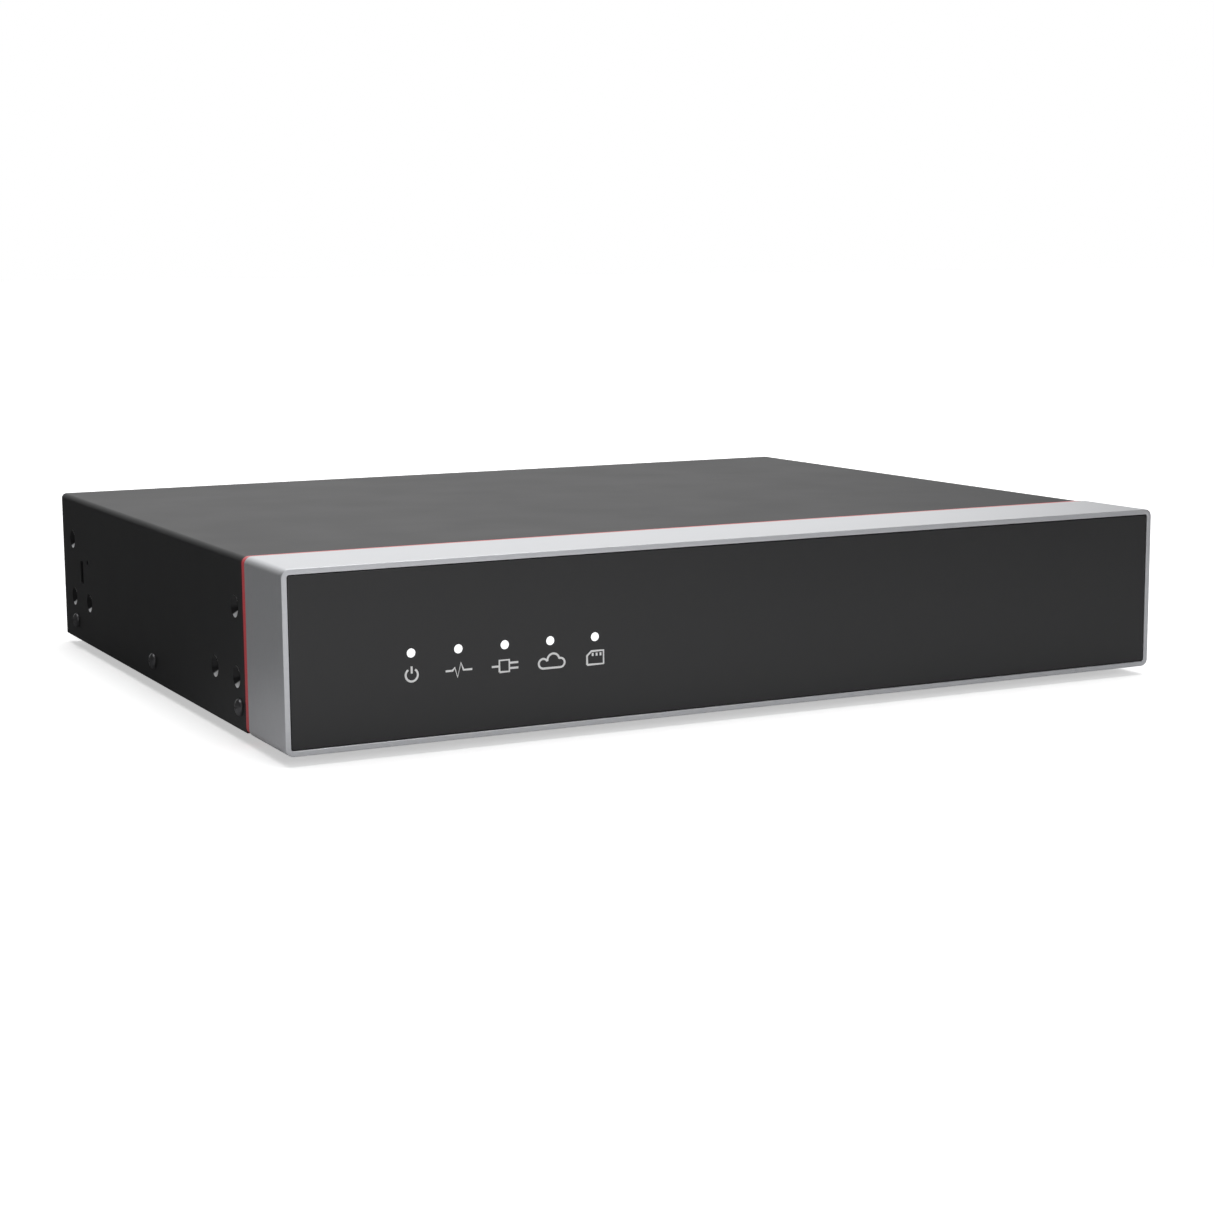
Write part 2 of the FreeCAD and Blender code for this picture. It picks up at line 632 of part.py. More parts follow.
def make_fan():
    """A small axial fan against its bracket: frame, rotor with seven blades, screws."""
    frame = round_upright(block("fan_x + fan_t / 2", "fan_y - fan_w / 2", "fan_z - fan_w / 2",
                                "fan_t", "fan_w", "fan_w"), "2", "x")
    bores = [rod("fan_x - 1", "fan_y", "fan_z", "fan_bore_r", "fan_t + 2", "x")]
    for y, z in fan_hole_places():
        bores.append(rod("fan_x - 1", y, z, "clear_r", "fan_t + 2", "x"))
    plate = rod("fan_x", "fan_y", "fan_z", "fan_hub_r - 1", "1.2", "x")
    struts = []
    for number in range(3):
        strut = document.addObject("Part::Box", "Strut")
        bind(strut, Length="1.2", Width="2", Height="fan_bore_r + 0.5")
        angle = 120 * number + 30
        turn = FreeCAD.Rotation(FreeCAD.Vector(1, 0, 0), angle)
        strut.Placement = FreeCAD.Placement(FreeCAD.Vector(), turn)
        place(strut, "fan_x", f"fan_y - cos({angle})", f"fan_z - sin({angle})")
        struts.append(strut)
    node("fan_frame", fuse(cut(frame, *bores), plate, *struts))
    blades = []
    for number in range(7):
        blade = document.addObject("Part::Box", "Blade")
        bind(blade, Length="6.6", Width="1", Height="fan_blade_r")
        lean = FreeCAD.Rotation(FreeCAD.Vector(0, 0, 1), 38)
        turn = FreeCAD.Rotation(FreeCAD.Vector(1, 0, 0), 360 * number / 7)
        centre = FreeCAD.Vector(-3.3, -0.5, 0)
        blade.Placement = FreeCAD.Placement(turn.multVec(lean.multVec(centre)), turn.multiply(lean))
        blades.append(blade)
    wheel = fuse(rod("-3.5", "0", "0", "fan_hub_r", "7.4", "x"), *blades)
    place(wheel, "fan_x + fan_t / 2 + 0.6", "fan_y", "fan_z")
    rim = rod("fan_x - 1", "fan_y", "fan_z", "fan_blade_r", "fan_t + 2", "x")
    rotor = document.addObject("Part::Common", "Rotor")
    rotor.Base = wheel
    rotor.Tool = rim
    node("fan_rotor", rotor)
    copies("fan_screws", screw("2.6", "shank_r", "fan_t + sheet_t"),
           [("fan_x", y, z, "-x") for y, z in fan_hole_places()])


# ---- hard drive ----

def drive_screw_places():
    """The four standard holes in the underside of a large drive."""
    return [(f"drive_end - {along}", f"drive_mid + {side} * rack_half")
            for along in ("rack_1", "rack_2") for side in (-1, 1)]


def make_drive_bracket():
    """The raised plate under the drive, welded to the floor by its two feet."""
    body = new_body("BracketSheet", "drive_x", "drive_y + 2", "floor_z")
    section = sketch_on(body, "XZ_Plane")
    inner = "drive_w / 2 + 1.5"
    outer = "drive_w / 2 + 1.5 + sheet_t"
    toe = "drive_w / 2 + 12"
    draw_outline(section, [
        (f"-({toe})", "0"), (f"-({inner})", "0"), (f"-({inner})", "standoff_h - sheet_t"),
        (inner, "standoff_h - sheet_t"), (inner, "0"), (toe, "0"), (toe, "sheet_t"),
        (outer, "sheet_t"), (outer, "standoff_h"), (f"-({outer})", "standoff_h"),
        (f"-({outer})", "sheet_t"), (f"-({toe})", "sheet_t")])
    pad(body, section, "drive_d - 2")
    holes = [rod(x, y, "floor_z + 1", "1.9", "standoff_h") for x, y in drive_screw_places()]
    node("drive_bracket", cut(body, *holes))
    copies("drive_screws", screw("2.9", "1.6", "5"),
           [(x, y, "board_z - sheet_t", "-z") for x, y in drive_screw_places()])


def make_drive_case():
    """The drive's cast base with its wells, its lid and the board beneath."""
    base = round_upright(block("drive_x", "drive_y", "board_z", "drive_w", "drive_d",
                               "drive_h - lid_t"), "3", "z")
    floor = "board_z + 5"
    wells = [rod("disc_x", "drive_mid", floor, "disc_r + 0.8", "drive_h"),
             block("2.5", "drive_y + 4", floor, "57", "drive_d - 8", "drive_h"),
             block("drive_x + 2", "drive_y + 8", "board_z - 1", "drive_w - 16", "drive_d - 16", "3"),
             block("drive_end - 4", "drive_mid - 20", "board_z - 1", "13", "54", "6")]
    screws = [rod(x, y, "board_z - 1", "1.7", "5.6") for x, y in drive_screw_places()]
    node("drive_casting", cut(base, *wells, *screws))
    lid = round_upright(block("drive_x", "drive_y + 0.5", "drive_top - lid_t + gap", "drive_w - 1",
                              "drive_d - 1", "lid_t - gap"), "3", "z")
    node("drive_lid", lid)
    card = block("drive_x", "drive_y + 10", "board_z + 0.3", "drive_w - 20", "drive_d - 20", "1")
    sockets = [block("drive_end - 5.2", "drive_mid - 17", "board_z + 0.3", "10", "16", "4.4"),
               block("drive_end - 5.2", "drive_mid + 2", "board_z + 0.3", "10", "28", "4.4")]
    node("drive_board", fuse(card, *sockets))


def make_drive_discs():
    """Two discs on their hub, above the drive's floor."""
    discs = [rod("disc_x", "drive_mid", f"board_z + disc_low + {number} * disc_step", "disc_r", "disc_t")
             for number in range(2)]
    bores = rod("disc_x", "drive_mid", "board_z", "hub_r + 0.05", "drive_h")
    node("drive_discs", cut(group(discs), bores))
    node("drive_hub", rod("disc_x", "drive_mid", "board_z + 5.6", "hub_r", "13.5"))


def make_drive_arm():
    """The head arm, parked clear of the discs, with its coil between two magnet plates."""
    body = new_body("ArmBlade")
    sketch = sketch_on(body, "XY_Plane")
    draw_outline(sketch, [("0", "-5.5"), ("arm_l", "-1.2"), ("arm_l", "1.2"), ("0", "5.5")])
    pad(body, sketch, "0.8", backward=False)
    blades = []
    for height in (7.7, 12.3, 17.5):
        link = document.addObject("App::Link", "Blade")
        link.LinkedObject = body
        place(link, "0", "0", f"board_z + {height}")
        blades.append(link)
    barrel = rod("0", "0", "board_z + 5.6", "7", "18")
    coil = block("-12", "-7", "board_z + 11", "22", "14", "2.4")
    arm = fuse(barrel, coil, *blades)
    turn = FreeCAD.Rotation(FreeCAD.Vector(0, 0, 1), measure("arm_park"))
    arm.Placement = FreeCAD.Placement(FreeCAD.Vector(), turn)
    place(arm, "pivot_x", "pivot_y", "0")
    node("drive_arm", arm)
    plates = [block("pivot_x + 13", "pivot_y - 25", f"board_z + {height}", "30", "17", "3.2")
              for height in (6, 15.4)]
    node("drive_magnets", group(plates))


# ---- main board ----

def standoff_places():
    """The six pillars: four near the corners and two between them."""
    corners = [(f"{side} * standoff_x", y) for side in (-1, 1)
               for y in ("standoff_front", "standoff_rear")]
    return corners + [("0", "standoff_front"), ("-48", "standoff_rear")]


def make_main_board():
    """The main board on hexagonal pillars, with its chips and small parts."""
    board = block("0", "board_y", "board_z", "board_w", "board_d", "board_t")
    holes = [rod(x, y, "floor_z", "clear_r", "standoff_h + 4") for x, y in standoff_places()]
    node("main_board", cut(board, *holes))
    pillars = [hexagon(x, y, "floor_z", "2.9", "standoff_h") for x, y in standoff_places()]
    bores = [rod(x, y, "floor_z + 0.5", "clear_r", "standoff_h") for x, y in standoff_places()]
    node("board_pillars", cut(group(pillars), *bores))
    chips = [block("sink_x", "chip_y + 0.5", "deck_z", "21", "21", "1.6")]
    chips += [block(x, y, "deck_z", "13", "9", "1.1") for x in ("8", "-8")
              for y in ("chip_y", "chip_y + 14")]
    node("board_chips", group(chips))
    fins = [block("sink_x", f"sink_y + {number} * fin_pitch", "deck_z + 1.5 + sink_h", "sink_w", "1.2",
                  "fin_h") for number in range(7)]
    base = block("sink_x", "sink_y", "deck_z + 1.6", "sink_w", "sink_w", "sink_h")
    node("heatsink", fuse(base, *fins))
    ring = cut(rod("cell_x", "cell_y", "deck_z", "cell_r + 2", "4.4"),
               rod("cell_x", "cell_y", "deck_z + 0.8", "cell_r + 0.3", "5"))
    node("cell_holder", ring)
    node("coin_cell", rod("cell_x", "cell_y", "deck_z + 0.9", "cell_r", "3.2"))
    cans = [rod(x, y, "deck_z", "4", "10") for x, y in (
        ("74", "60"), ("84", "60"), ("94", "60"), ("-30", "46"), ("-42", "46"))]
    node("capacitors", group(cans))
    headers = [block(x, "header_y", "deck_z", length, "6", "6") for x, length in (
        ("56", "14"), ("72", "10"), ("85", "10"), ("97", "7.5"))]
    node("board_headers", group(headers))


# ---- leads inside the case ----

def rounded_path(points):
    """Straight runs joined by tangent arcs, each as large as its two runs allow."""
    edges = []
    start = points[0]
    for before, corner, after in zip(points, points[1:], points[2:]):
        shorter = min((corner - before).Length, (after - corner).Length)
        back = (before - corner).normalize()
        ahead = (after - corner).normalize()
        enter = corner + back * (0.45 * shorter)
        leave = corner + ahead * (0.45 * shorter)
        half_turn = (math.pi - back.getAngle(ahead)) / 2
        radius = 0.45 * shorter / math.tan(half_turn)
        inward = (back + ahead).normalize()
        middle = corner + inward * (radius / math.cos(half_turn) - radius)
        edges.append(Part.LineSegment(start, enter).toShape())
        edges.append(Part.Arc(enter, middle, leave).toShape())
        start = leave
    edges.append(Part.LineSegment(start, points[-1]).toShape())
    return Part.Wire(edges)


def lead(route, radius):
    """A round lead along a route of (x, y, z) expressions."""
    points = [FreeCAD.Vector(*(measure(text) for text in point)) for point in route]
    path = rounded_path(points)
    section = Part.Circle(points[0], points[1] - points[0], radius).toShape()
    tube = path.makePipeShell([Part.Wire([section])], True, False)
    item = document.addObject("Part::Feature", "Lead")
    item.Shape = tube
    return item


def make_leads():
    """The leads of the lamps, the fan and the drive, with the drive's plugs."""
    lamps = lead([
        ("led_board_x + 24", "led_board_y + board_t + 5", "mid_z"),
        ("led_board_x + 24", "-87", "mid_z"), ("-20", "-87", "mid_z + 2"), ("30", "-87", "mid_z"),
        ("78", "-87", "mid_z"), ("85", "-70", "mid_z"), ("85", "-20", "mid_z"),
        ("85", "25", "mid_z + 1"), ("85", "41", "mid_z"), ("85", "41", "plug_z")], 1.5)
    fan = lead([
        ("fan_x + 5", "fan_y + fan_w / 2", "10"), ("fan_x + 5", "12", "10"),
        ("108", "24", "14"), ("97", "34", "24"), ("97", "41", "24"), ("97", "41", "plug_z")], 1.2)
    node("board_leads", group([lamps, fan]))
    data = lead([
        ("drive_end + 8", "drive_mid - 9", "board_z + 2.5"),
        ("56", "drive_mid - 9", "board_z + 2.5"), ("56", "-6", "board_z + 3"),
        ("56", "24", "30"), ("56", "41", "30"), ("56", "41", "plug_z + 4")], 1.8)
    power = lead([
        ("drive_end + 8", "drive_mid + 16", "board_z + 2.5"),
        ("66", "drive_mid + 16", "board_z + 2.5"), ("72", "4", "board_z + 4"),
        ("72", "26", "30"), ("72", "41", "30"), ("72", "41", "plug_z + 4")], 2.2)
    plugs = [block("drive_end + 4.1", "drive_mid - 17", "board_z + 0.3", "7.8", "16", "4.4"),
             block("drive_end + 4.1", "drive_mid + 2", "board_z + 0.3", "7.8", "28", "4.4"),
             block("56", "header_y", "plug_z", "14", "6", "5"),
             block("72", "header_y", "plug_z", "10", "6", "5")]
    node("drive_leads", fuse(data, power, *plugs))


# ---- rear sockets ----

def bnc_places():
    """Two rows of four video jacks."""
    return [(f"bnc_x + {column} * bnc_pitch", f"bnc_low + {row} * bnc_pitch")
            for row in range(2) for column in (-1.5, -0.5, 0.5, 1.5)]


def audio_places():
    return ["audio_low", "audio_low + bnc_pitch"]


def make_video_jacks():
    """Bayonet video jacks on their shared block, with insulators and centre contacts."""
    foot = "wall_y - gap"
    reach = f"bnc_tip - ({foot})"
    node("video_block", block("bnc_x", "video_front", "deck_z", "4 * bnc_pitch",
                              "wall_y - video_front - 0.2", "32.5"))
    body = lathe("Jack", [
        ("0", "0"), ("bnc_ring_r", "0"), ("bnc_ring_r", "2.6"), ("bnc_r + 0.3", "3.4"),
        ("bnc_r", "3.4"), ("bnc_r", f"{reach} - 1.2"), ("bnc_r - 0.5", reach),
        ("bnc_bore_r", reach), ("bnc_bore_r", "4.4"), ("0", "4.4")])
    lugs = cut(rod("-bnc_r - 0.9", "0", f"{reach} - 4.2", "0.95", "2 * bnc_r + 1.8", "x"),
               rod("0", "0", "0", "bnc_bore_r + 0.2", "20"))
    jack = fuse(body, lugs)
    copies("video_jacks", jack, [(x, foot, z, "y") for x, z in bnc_places()])
    insulator = lathe("Insulator", [("0.75", "0"), ("2.4", "0"), ("2.4", "5.6"), ("0.75", "5.6")])
    copies("jack_insulators", insulator, [(x, f"{foot} + 4.5", z, "y") for x, z in bnc_places()])
    pin = lathe("CentrePin", [("0", "0"), ("0.68", "0"), ("0.68", "6.3"), ("0.4", "6.6"), ("0", "6.6")])
    pins = [(x, f"{foot} + 4.5", z, "y") for x, z in bnc_places()]
    long_pin = ("jack_x", "88.2", "deck_z + jack_z", "y")
    copies("centre_pins", pin, pins + [long_pin])


def make_audio_jacks():
    """A pair of round audio jacks, one above the other."""
    node("audio_block", block("audio_x", "block_front", "deck_z", "12.5",
                              "wall_y - block_front - 0.2", "32"))
    sleeve = lathe("Sleeve", [
        ("3", "0"), ("5.2", "0"), ("5.2", "2"), ("4.15", "2.4"), ("4.15", "9.6"), ("3.8", "10"),
        ("3", "10")])
    copies("audio_sleeves", sleeve, [("audio_x", "wall_y - gap", z, "y") for z in audio_places()])
    insert = lathe("Insert", [("1.7", "0"), ("2.9", "0"), ("2.9", "9"), ("1.7", "9")])
    copies("audio_inserts", insert, [("audio_x", "wall_y - gap", z, "y") for z in audio_places()])


def d_outline(x, z, grow=0.0):
    """The corners of a D-shaped connector, wider at the top."""
    half_top = 8.3 + grow
    half_low = 7.0 + grow
    high = 4.2 + grow
    return [(f"{x} - {half_low}", f"{z} - {high}"), (f"{x} + {half_low}", f"{z} - {high}"),
            (f"{x} + {half_top}", f"{z} + {high}"), (f"{x} - {half_top}", f"{z} + {high}")]


def prism(name, y, depth, corners):
    """An outline in the plane of the rear wall, raised towards the rear."""
    body = new_body(name, "0", y, "0")
    sketch = sketch_on(body, "XZ_Plane")
    draw_outline(sketch, corners)
    pad(body, sketch, depth)
    return body


def make_monitor_ports():
    """The two screen sockets: a D-shaped one with its pillars, and a flat one."""
    z = "deck_z + monitor_z"
    flange = round_upright(block("monitor_x", "back_y + gap", f"{z} - 6.2", "30.8", "0.8", "12.4"),
                           "1.5", "y")
    shell = prism("MonitorShell", "back_y + gap", "6.2", d_outline("monitor_x", z))
    hollow = prism("MonitorHollow", "back_y - 1", "9", d_outline("monitor_x", z, -0.5))
    screws = [rod(f"monitor_x + {side} * monitor_screw", "back_y - 1", z, "1.6", "3", "y")
              for side in (-1, 1)]
    node("monitor_shell", cut(fuse(flange, shell), hollow, *screws))
    plug = prism("MonitorInsert", "back_y - 4", "9.6", d_outline("monitor_x", z, -0.6))
    back = block("monitor_x", "block_front", "deck_z", "30", "wall_y - block_front - 0.3", "12.4")
    sockets = []
    for row in range(3):
        for number in range(5):
            shift = 0 if row != 1 else 1.1
            sockets.append(rod(f"monitor_x + {-4.6 + 2.29 * number + shift - 0.55}", "back_y + 1",
                               f"{z} + {2 * (row - 1)}", "0.5", "6", "y"))
    node("monitor_insert", cut(fuse(plug, back), *sockets))
    columns = [f"monitor_x + {side} * monitor_screw" for side in (-1, 1)]
    pillars = [hexagon(x, "back_y + 1", z, "2.8", "4.6", "y") for x in columns]
    stems = [rod(x, "back_y - 1.2", z, "1.4", "3", "y") for x in columns]
    bores = [rod(x, "back_y + 2", z, "1.2", "6", "y") for x in columns]
    node("monitor_pillars", cut(fuse(*pillars, *stems), *bores))
    corners = [("screen_x - 5.6", "deck_z"), ("screen_x + 5.6", "deck_z"), ("screen_x + 7.4", "deck_z + 2"),
               ("screen_x + 7.4", "deck_z + 5.8"), ("screen_x - 7.4", "deck_z + 5.8"),
               ("screen_x - 7.4", "deck_z + 2")]
    inner = [("screen_x - 5.4", "deck_z + 0.4"), ("screen_x + 5.4", "deck_z + 0.4"),
             ("screen_x + 7", "deck_z + 2.2"), ("screen_x + 7", "deck_z + 5.4"),
             ("screen_x - 7", "deck_z + 5.4"), ("screen_x - 7", "deck_z + 2.2")]
    outer = prism("ScreenShell", "85", "rear_y + 0.3 - 85", corners)
    node("screen_shell", cut(outer, prism("ScreenHollow", "87", "15", inner)))


def make_data_ports():
    """The network socket and the two stacked serial sockets, with their tongues."""
    face = "rear_y + 0.3"
    mouth = f"{face} - mouth_d"
    net = block("net_x", f"{face} - net_d", "deck_z", "net_w", "net_d", "net_h")
    hollow = [block("net_x", mouth, "deck_z + 3.6", "11.8", "mouth_d + 1", "7.4"),
              block("net_x", mouth, "deck_z + 1.4", "6.4", "mouth_d + 1", "4")]
    node("network_jack", cut(net, *hollow))
    wires = [block(f"net_x + {(number - 3.5) * 1.02}", f"{face} - 12", "deck_z + 10.1", "0.4", "9", "0.8")
             for number in range(8)]
    node("network_contacts", group(wires))
    serial = block("serial_x", f"{face} - serial_d", "deck_z", "serial_w", "serial_d", "serial_h")
    slots = [block("serial_x", mouth, f"deck_z + {low}", "12.6", "mouth_d + 1", "5.4")
             for low in (1.2, 9.1)]
    node("serial_shells", cut(serial, *slots))
    tongues = [block("serial_x", mouth, f"deck_z + {low}", "11.2", "12.6", "1.9")
               for low in (4.2, 12.1)]
    tongues.append(block("screen_x", f"{face} - 11.3", "deck_z + 3.1", "11", "9.6", "1"))
    node("port_tongues", group(tongues))


def make_card_reader():
    """The memory card in its spring-loaded reader."""
    shell = block("card_x", "81", "deck_z", "14.5", "back_y - 81", "2.1")
    hollow = block("card_x", "82.2", "deck_z + 0.5", "11.5", "20", "1.2")
    node("card_reader", cut(shell, hollow))
    card = block("card_x", "rear_y + 0.4 - 15", "deck_z + 0.7", "11", "15", "0.8")
    notch = block("card_x + 5.5", "rear_y + 0.4 - 16", "deck_z", "2.4", "7", "3")
    node("memory_card", cut(card, notch))


def make_power_inlet():
    """The round inlet for the mains adaptor."""
    body = block("jack_x", "83.4", "deck_z", "9", "rear_y - 83.4 + 0.2", "11")
    node("power_inlet", cut(body, rod("jack_x", "88", "deck_z + jack_z", "jack_bore_r", "20", "y")))


def make_power_switch():
    """The rocker switch: a framed housing and a rocker that tips about its pin."""
    flange = round_upright(block("rocker_x", "back_y + gap", "rocker_z - 10.5", "15", "1.6", "21"),
                           "1", "y")
    body = block("rocker_x", "80", "rocker_z - 9.3", "12.6", "back_y + 0.5 - 80", "18.6")
    hollow = block("rocker_x", "86", "rocker_z - 8.4", "10.5", "20", "16.8")
    node("switch_housing", cut(fuse(flange, body), hollow))
    rocker = document.addObject("PartDesign::Body", "Rocker")
    sketch = sketch_on(rocker, "YZ_Plane")
    draw_outline(sketch, [("3.6", "0"), ("5", "7.3"), ("0", "8"), ("-4.5", "3.5"),
                          ("-4.5", "-3.5"), ("0", "-8"), ("5", "-7.3")])
    feature = pad(rocker, sketch, "10", backward=False)
    feature.Midplane = True
    tilt = FreeCAD.Rotation(FreeCAD.Vector(1, 0, 0), -measure("rocker_tilt"))
    rocker.Placement = FreeCAD.Placement(FreeCAD.Vector(), tilt)
    place(rocker, "rocker_x", "rocker_pivot", "rocker_z")
    node("switch_rocker", rocker)


def make_terminal():
    """The pluggable four-way terminal, with its clamp screws."""
    outer = block("plug_x", "86", "deck_z", "17.6", "rear_y + 0.4 - 86", "7.6")
    node("terminal_socket", cut(outer, block("plug_x", "88", "deck_z + 0.8", "16", "20", "6")))
    inner = block("plug_x", "89", "deck_z + 1", "15.6", "rear_y - 88", "5.6")
    front = block("plug_x", "rear_y + 0.6", "deck_z + 0.6", "16.4", "7.6", "8.4")
    ways = [f"plug_x + {number - 1.5} * way_pitch" for number in range(4)]
    holes = [block(x, "rear_y + 3.2", "deck_z + 1.6", "2.6", "6", "2.8") for x in ways]
    wells = [rod(x, "rear_y + 4.6", "deck_z + 6.4", "1.6", "4") for x in ways]
    node("terminal_plug", cut(fuse(inner, front), *holes, *wells))
    heads = [cut(rod(x, "rear_y + 4.6", "deck_z + 6.5", "1.45", "1.6"),
                 block(x, "rear_y + 2", "deck_z + 7.5", "0.5", "5", "1")) for x in ways]
    node("terminal_screws", group(heads))


def make_reset():
    """The recessed reset button behind its pinhole."""
    body = block("reset_x", "91", "deck_z", "6", "4.4", "7.6")
    node("reset_switch", cut(body, rod("reset_x", "93", "deck_z + reset_z", "1.25", "5", "y")))
    node("reset_button", rod("reset_x", "93.7", "deck_z + reset_z", "1.15", "3.5", "y"))


# ---- the whole recorder ----

fill_sheet()
make_front_frame()
make_front_panel()
make_accent_strip()
make_top_cover()
make_base_tray()
make_feet()
make_screws()
make_lamps()
make_fan()
make_drive_bracket()
make_drive_case()
make_drive_discs()
make_drive_arm()
make_main_board()
make_leads()
make_video_jacks()
make_audio_jacks()
make_monitor_ports()
make_data_ports()
make_card_reader()
make_power_inlet()
make_power_switch()
make_terminal()
make_reset()
document.recompute()

for item in document.Objects:
    if "Invalid" in item.State or "Error" in item.State:
        raise RuntimeError(item.Name + " failed")
os.makedirs("parts", exist_ok=True)
for item in nodes:
    if item.Shape.isNull() or not item.Shape.isValid():
        raise RuntimeError(item.Label + " has no valid shape")
    item.Shape.exportStep("parts/" + item.Label + ".step")
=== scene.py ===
import json
import math

import bmesh
import bpy
from mathutils import Matrix, Vector


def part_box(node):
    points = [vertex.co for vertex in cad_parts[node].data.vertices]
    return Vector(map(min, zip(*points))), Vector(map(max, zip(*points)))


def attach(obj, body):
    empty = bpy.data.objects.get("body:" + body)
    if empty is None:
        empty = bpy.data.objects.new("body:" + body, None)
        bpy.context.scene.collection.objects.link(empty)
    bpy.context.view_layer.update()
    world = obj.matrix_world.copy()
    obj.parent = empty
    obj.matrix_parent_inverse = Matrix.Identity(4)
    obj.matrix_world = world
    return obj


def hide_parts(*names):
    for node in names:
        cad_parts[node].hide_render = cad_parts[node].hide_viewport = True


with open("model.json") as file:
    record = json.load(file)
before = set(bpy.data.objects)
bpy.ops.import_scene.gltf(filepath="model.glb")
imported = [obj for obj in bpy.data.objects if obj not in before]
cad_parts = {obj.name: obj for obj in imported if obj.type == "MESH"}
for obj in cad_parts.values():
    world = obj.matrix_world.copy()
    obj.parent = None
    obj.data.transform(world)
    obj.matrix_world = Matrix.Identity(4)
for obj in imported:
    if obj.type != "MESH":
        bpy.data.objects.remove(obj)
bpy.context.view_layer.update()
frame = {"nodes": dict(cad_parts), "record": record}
record = frame["record"]
mm = 0.001
near = 0.1 * mm  # how close a face or edge lies to a plane to count as on it
print("frame loaded:", len(frame["nodes"]), "nodes")


# small helpers for modelling

def deselectAll():
    if bpy.context.object and bpy.context.object.mode != "OBJECT":
        bpy.ops.object.mode_set(mode="OBJECT")
    bpy.ops.object.select_all(action="DESELECT")


def makeActive(piece):
    deselectAll()
    piece.select_set(True)
    bpy.context.view_layer.objects.active = piece


def addBox(name, low, high):
    deselectAll()
    low, high = Vector(low), Vector(high)
    bpy.ops.mesh.primitive_cube_add(size=1, location=(low + high) / 2)
    piece = bpy.context.object
    piece.name = name
    piece.scale = high - low
    bpy.ops.object.transform_apply(location=True, rotation=True, scale=True)
    return piece


def pick(piece, kind, test):
    # edit mode, with only the faces, edges or verts that pass the test selected
    makeActive(piece)
    bpy.ops.object.mode_set(mode="EDIT")
    bpy.ops.mesh.select_mode(type=kind)
    bpy.ops.mesh.select_all(action="DESELECT")
    shape = bmesh.from_edit_mesh(piece.data)
    shape.normal_update()
    parts = {"FACE": shape.faces, "EDGE": shape.edges, "VERT": shape.verts}[kind]
    for part in parts:
        if test(part):
            part.select_set(True)
    bmesh.update_edit_mesh(piece.data)


def runsAlong(edge, axis):
    span = edge.verts[1].co - edge.verts[0].co
    return abs(span[axis]) > 0.9 * span.length


def edgeMiddle(edge):
    return (edge.verts[0].co + edge.verts[1].co) / 2


def objectMode():
    bpy.ops.object.mode_set(mode="OBJECT")


def applyModifier(piece, kind, **settings):
    makeActive(piece)
    modifier = piece.modifiers.new(kind.title(), kind)
    for setting, value in settings.items():
        setattr(modifier, setting, value)
    bpy.ops.object.modifier_apply(modifier=modifier.name)


def softenEdges(piece, width, segments=2, angle=30):
    applyModifier(piece, "BEVEL", width=width * mm, segments=segments, limit_method="ANGLE",
                  angle_limit=math.radians(angle), use_clamp_overlap=True)


def smooth(piece, angle=35):
    # smooth shading that leaves the large flat faces flat
    makeActive(piece)
    bpy.ops.object.shade_smooth_by_angle(angle=math.radians(angle))
    applyModifier(piece, "WEIGHTED_NORMAL", keep_sharp=True, weight=60)


def cutAway(piece, cutters):
    # one boolean with all the cutters joined, then they are gone
    cutter = joinPieces(cutters, "cutter")
    applyModifier(piece, "BOOLEAN", operation="DIFFERENCE", object=cutter, solver="EXACT",
                  use_self=True)
    bpy.data.objects.remove(cutter, do_unlink=True)


def joinPieces(pieces, name):
    deselectAll()
    for piece in pieces:
        piece.select_set(True)
    bpy.context.view_layer.objects.active = pieces[0]
    if len(pieces) > 1:
        bpy.ops.object.join()
    joined = bpy.context.object
    joined.name = name
    return joined


def addRod(name, start, direction, radius, length, sides=32):
    # a cylinder from a start point along a direction
    deselectAll()
    direction = Vector(direction).normalized()
    middle = Vector(start) + direction * length / 2
    bpy.ops.mesh.primitive_cylinder_add(vertices=sides, radius=radius, depth=length,
                                        location=middle,
                                        rotation=direction.to_track_quat("Z", "Y").to_euler())
    piece = bpy.context.object
    piece.name = name
    bpy.ops.object.transform_apply(location=True, rotation=True, scale=True)
    return piece


def drawChain(name, points):
    # one vertex drawn out from point to point, in mm, and left in edit mode
    deselectAll()
    bpy.ops.mesh.primitive_plane_add(size=mm, location=(0, 0, 0))
    piece = bpy.context.object
    piece.name = name
    bpy.ops.object.mode_set(mode="EDIT")
    bpy.ops.mesh.select_mode(type="VERT")
    bpy.ops.mesh.select_all(action="SELECT")
    bpy.ops.mesh.merge(type="CENTER")
    bpy.ops.mesh.select_all(action="SELECT")
    bpy.ops.transform.translate(value=Vector(points[0]) * mm)
    for before, point in zip(points, points[1:]):
        step = (Vector(point) - Vector(before)) * mm
        bpy.ops.mesh.extrude_vertices_move(TRANSFORM_OT_translate={"value": step})
    return piece


def spinProfile(name, profile, steps=40):
    # an outline of (radius, height) points in mm, spun about Z
    piece = drawChain(name, [(radius, 0, height) for radius, height in profile])
    bpy.ops.mesh.select_all(action="SELECT")
    bpy.ops.mesh.spin(steps=steps, angle=math.tau, center=(0, 0, 0), axis=(0, 0, 1))
    bpy.ops.mesh.select_all(action="SELECT")
    bpy.ops.mesh.remove_doubles(threshold=0.002 * mm)
    bpy.ops.mesh.normals_make_consistent(inside=False)
    objectMode()
    return piece


def placeAt(piece, location, direction=(0, 0, 1)):
    # turn a piece modelled about Z to point along a direction, and apply it
    makeActive(piece)
    piece.rotation_mode = "QUATERNION"
    piece.rotation_quaternion = Vector(direction).to_track_quat("Z", "Y")
    piece.location = location
    bpy.ops.object.transform_apply(location=True, rotation=True, scale=True)
    piece.rotation_mode = "XYZ"
    return piece


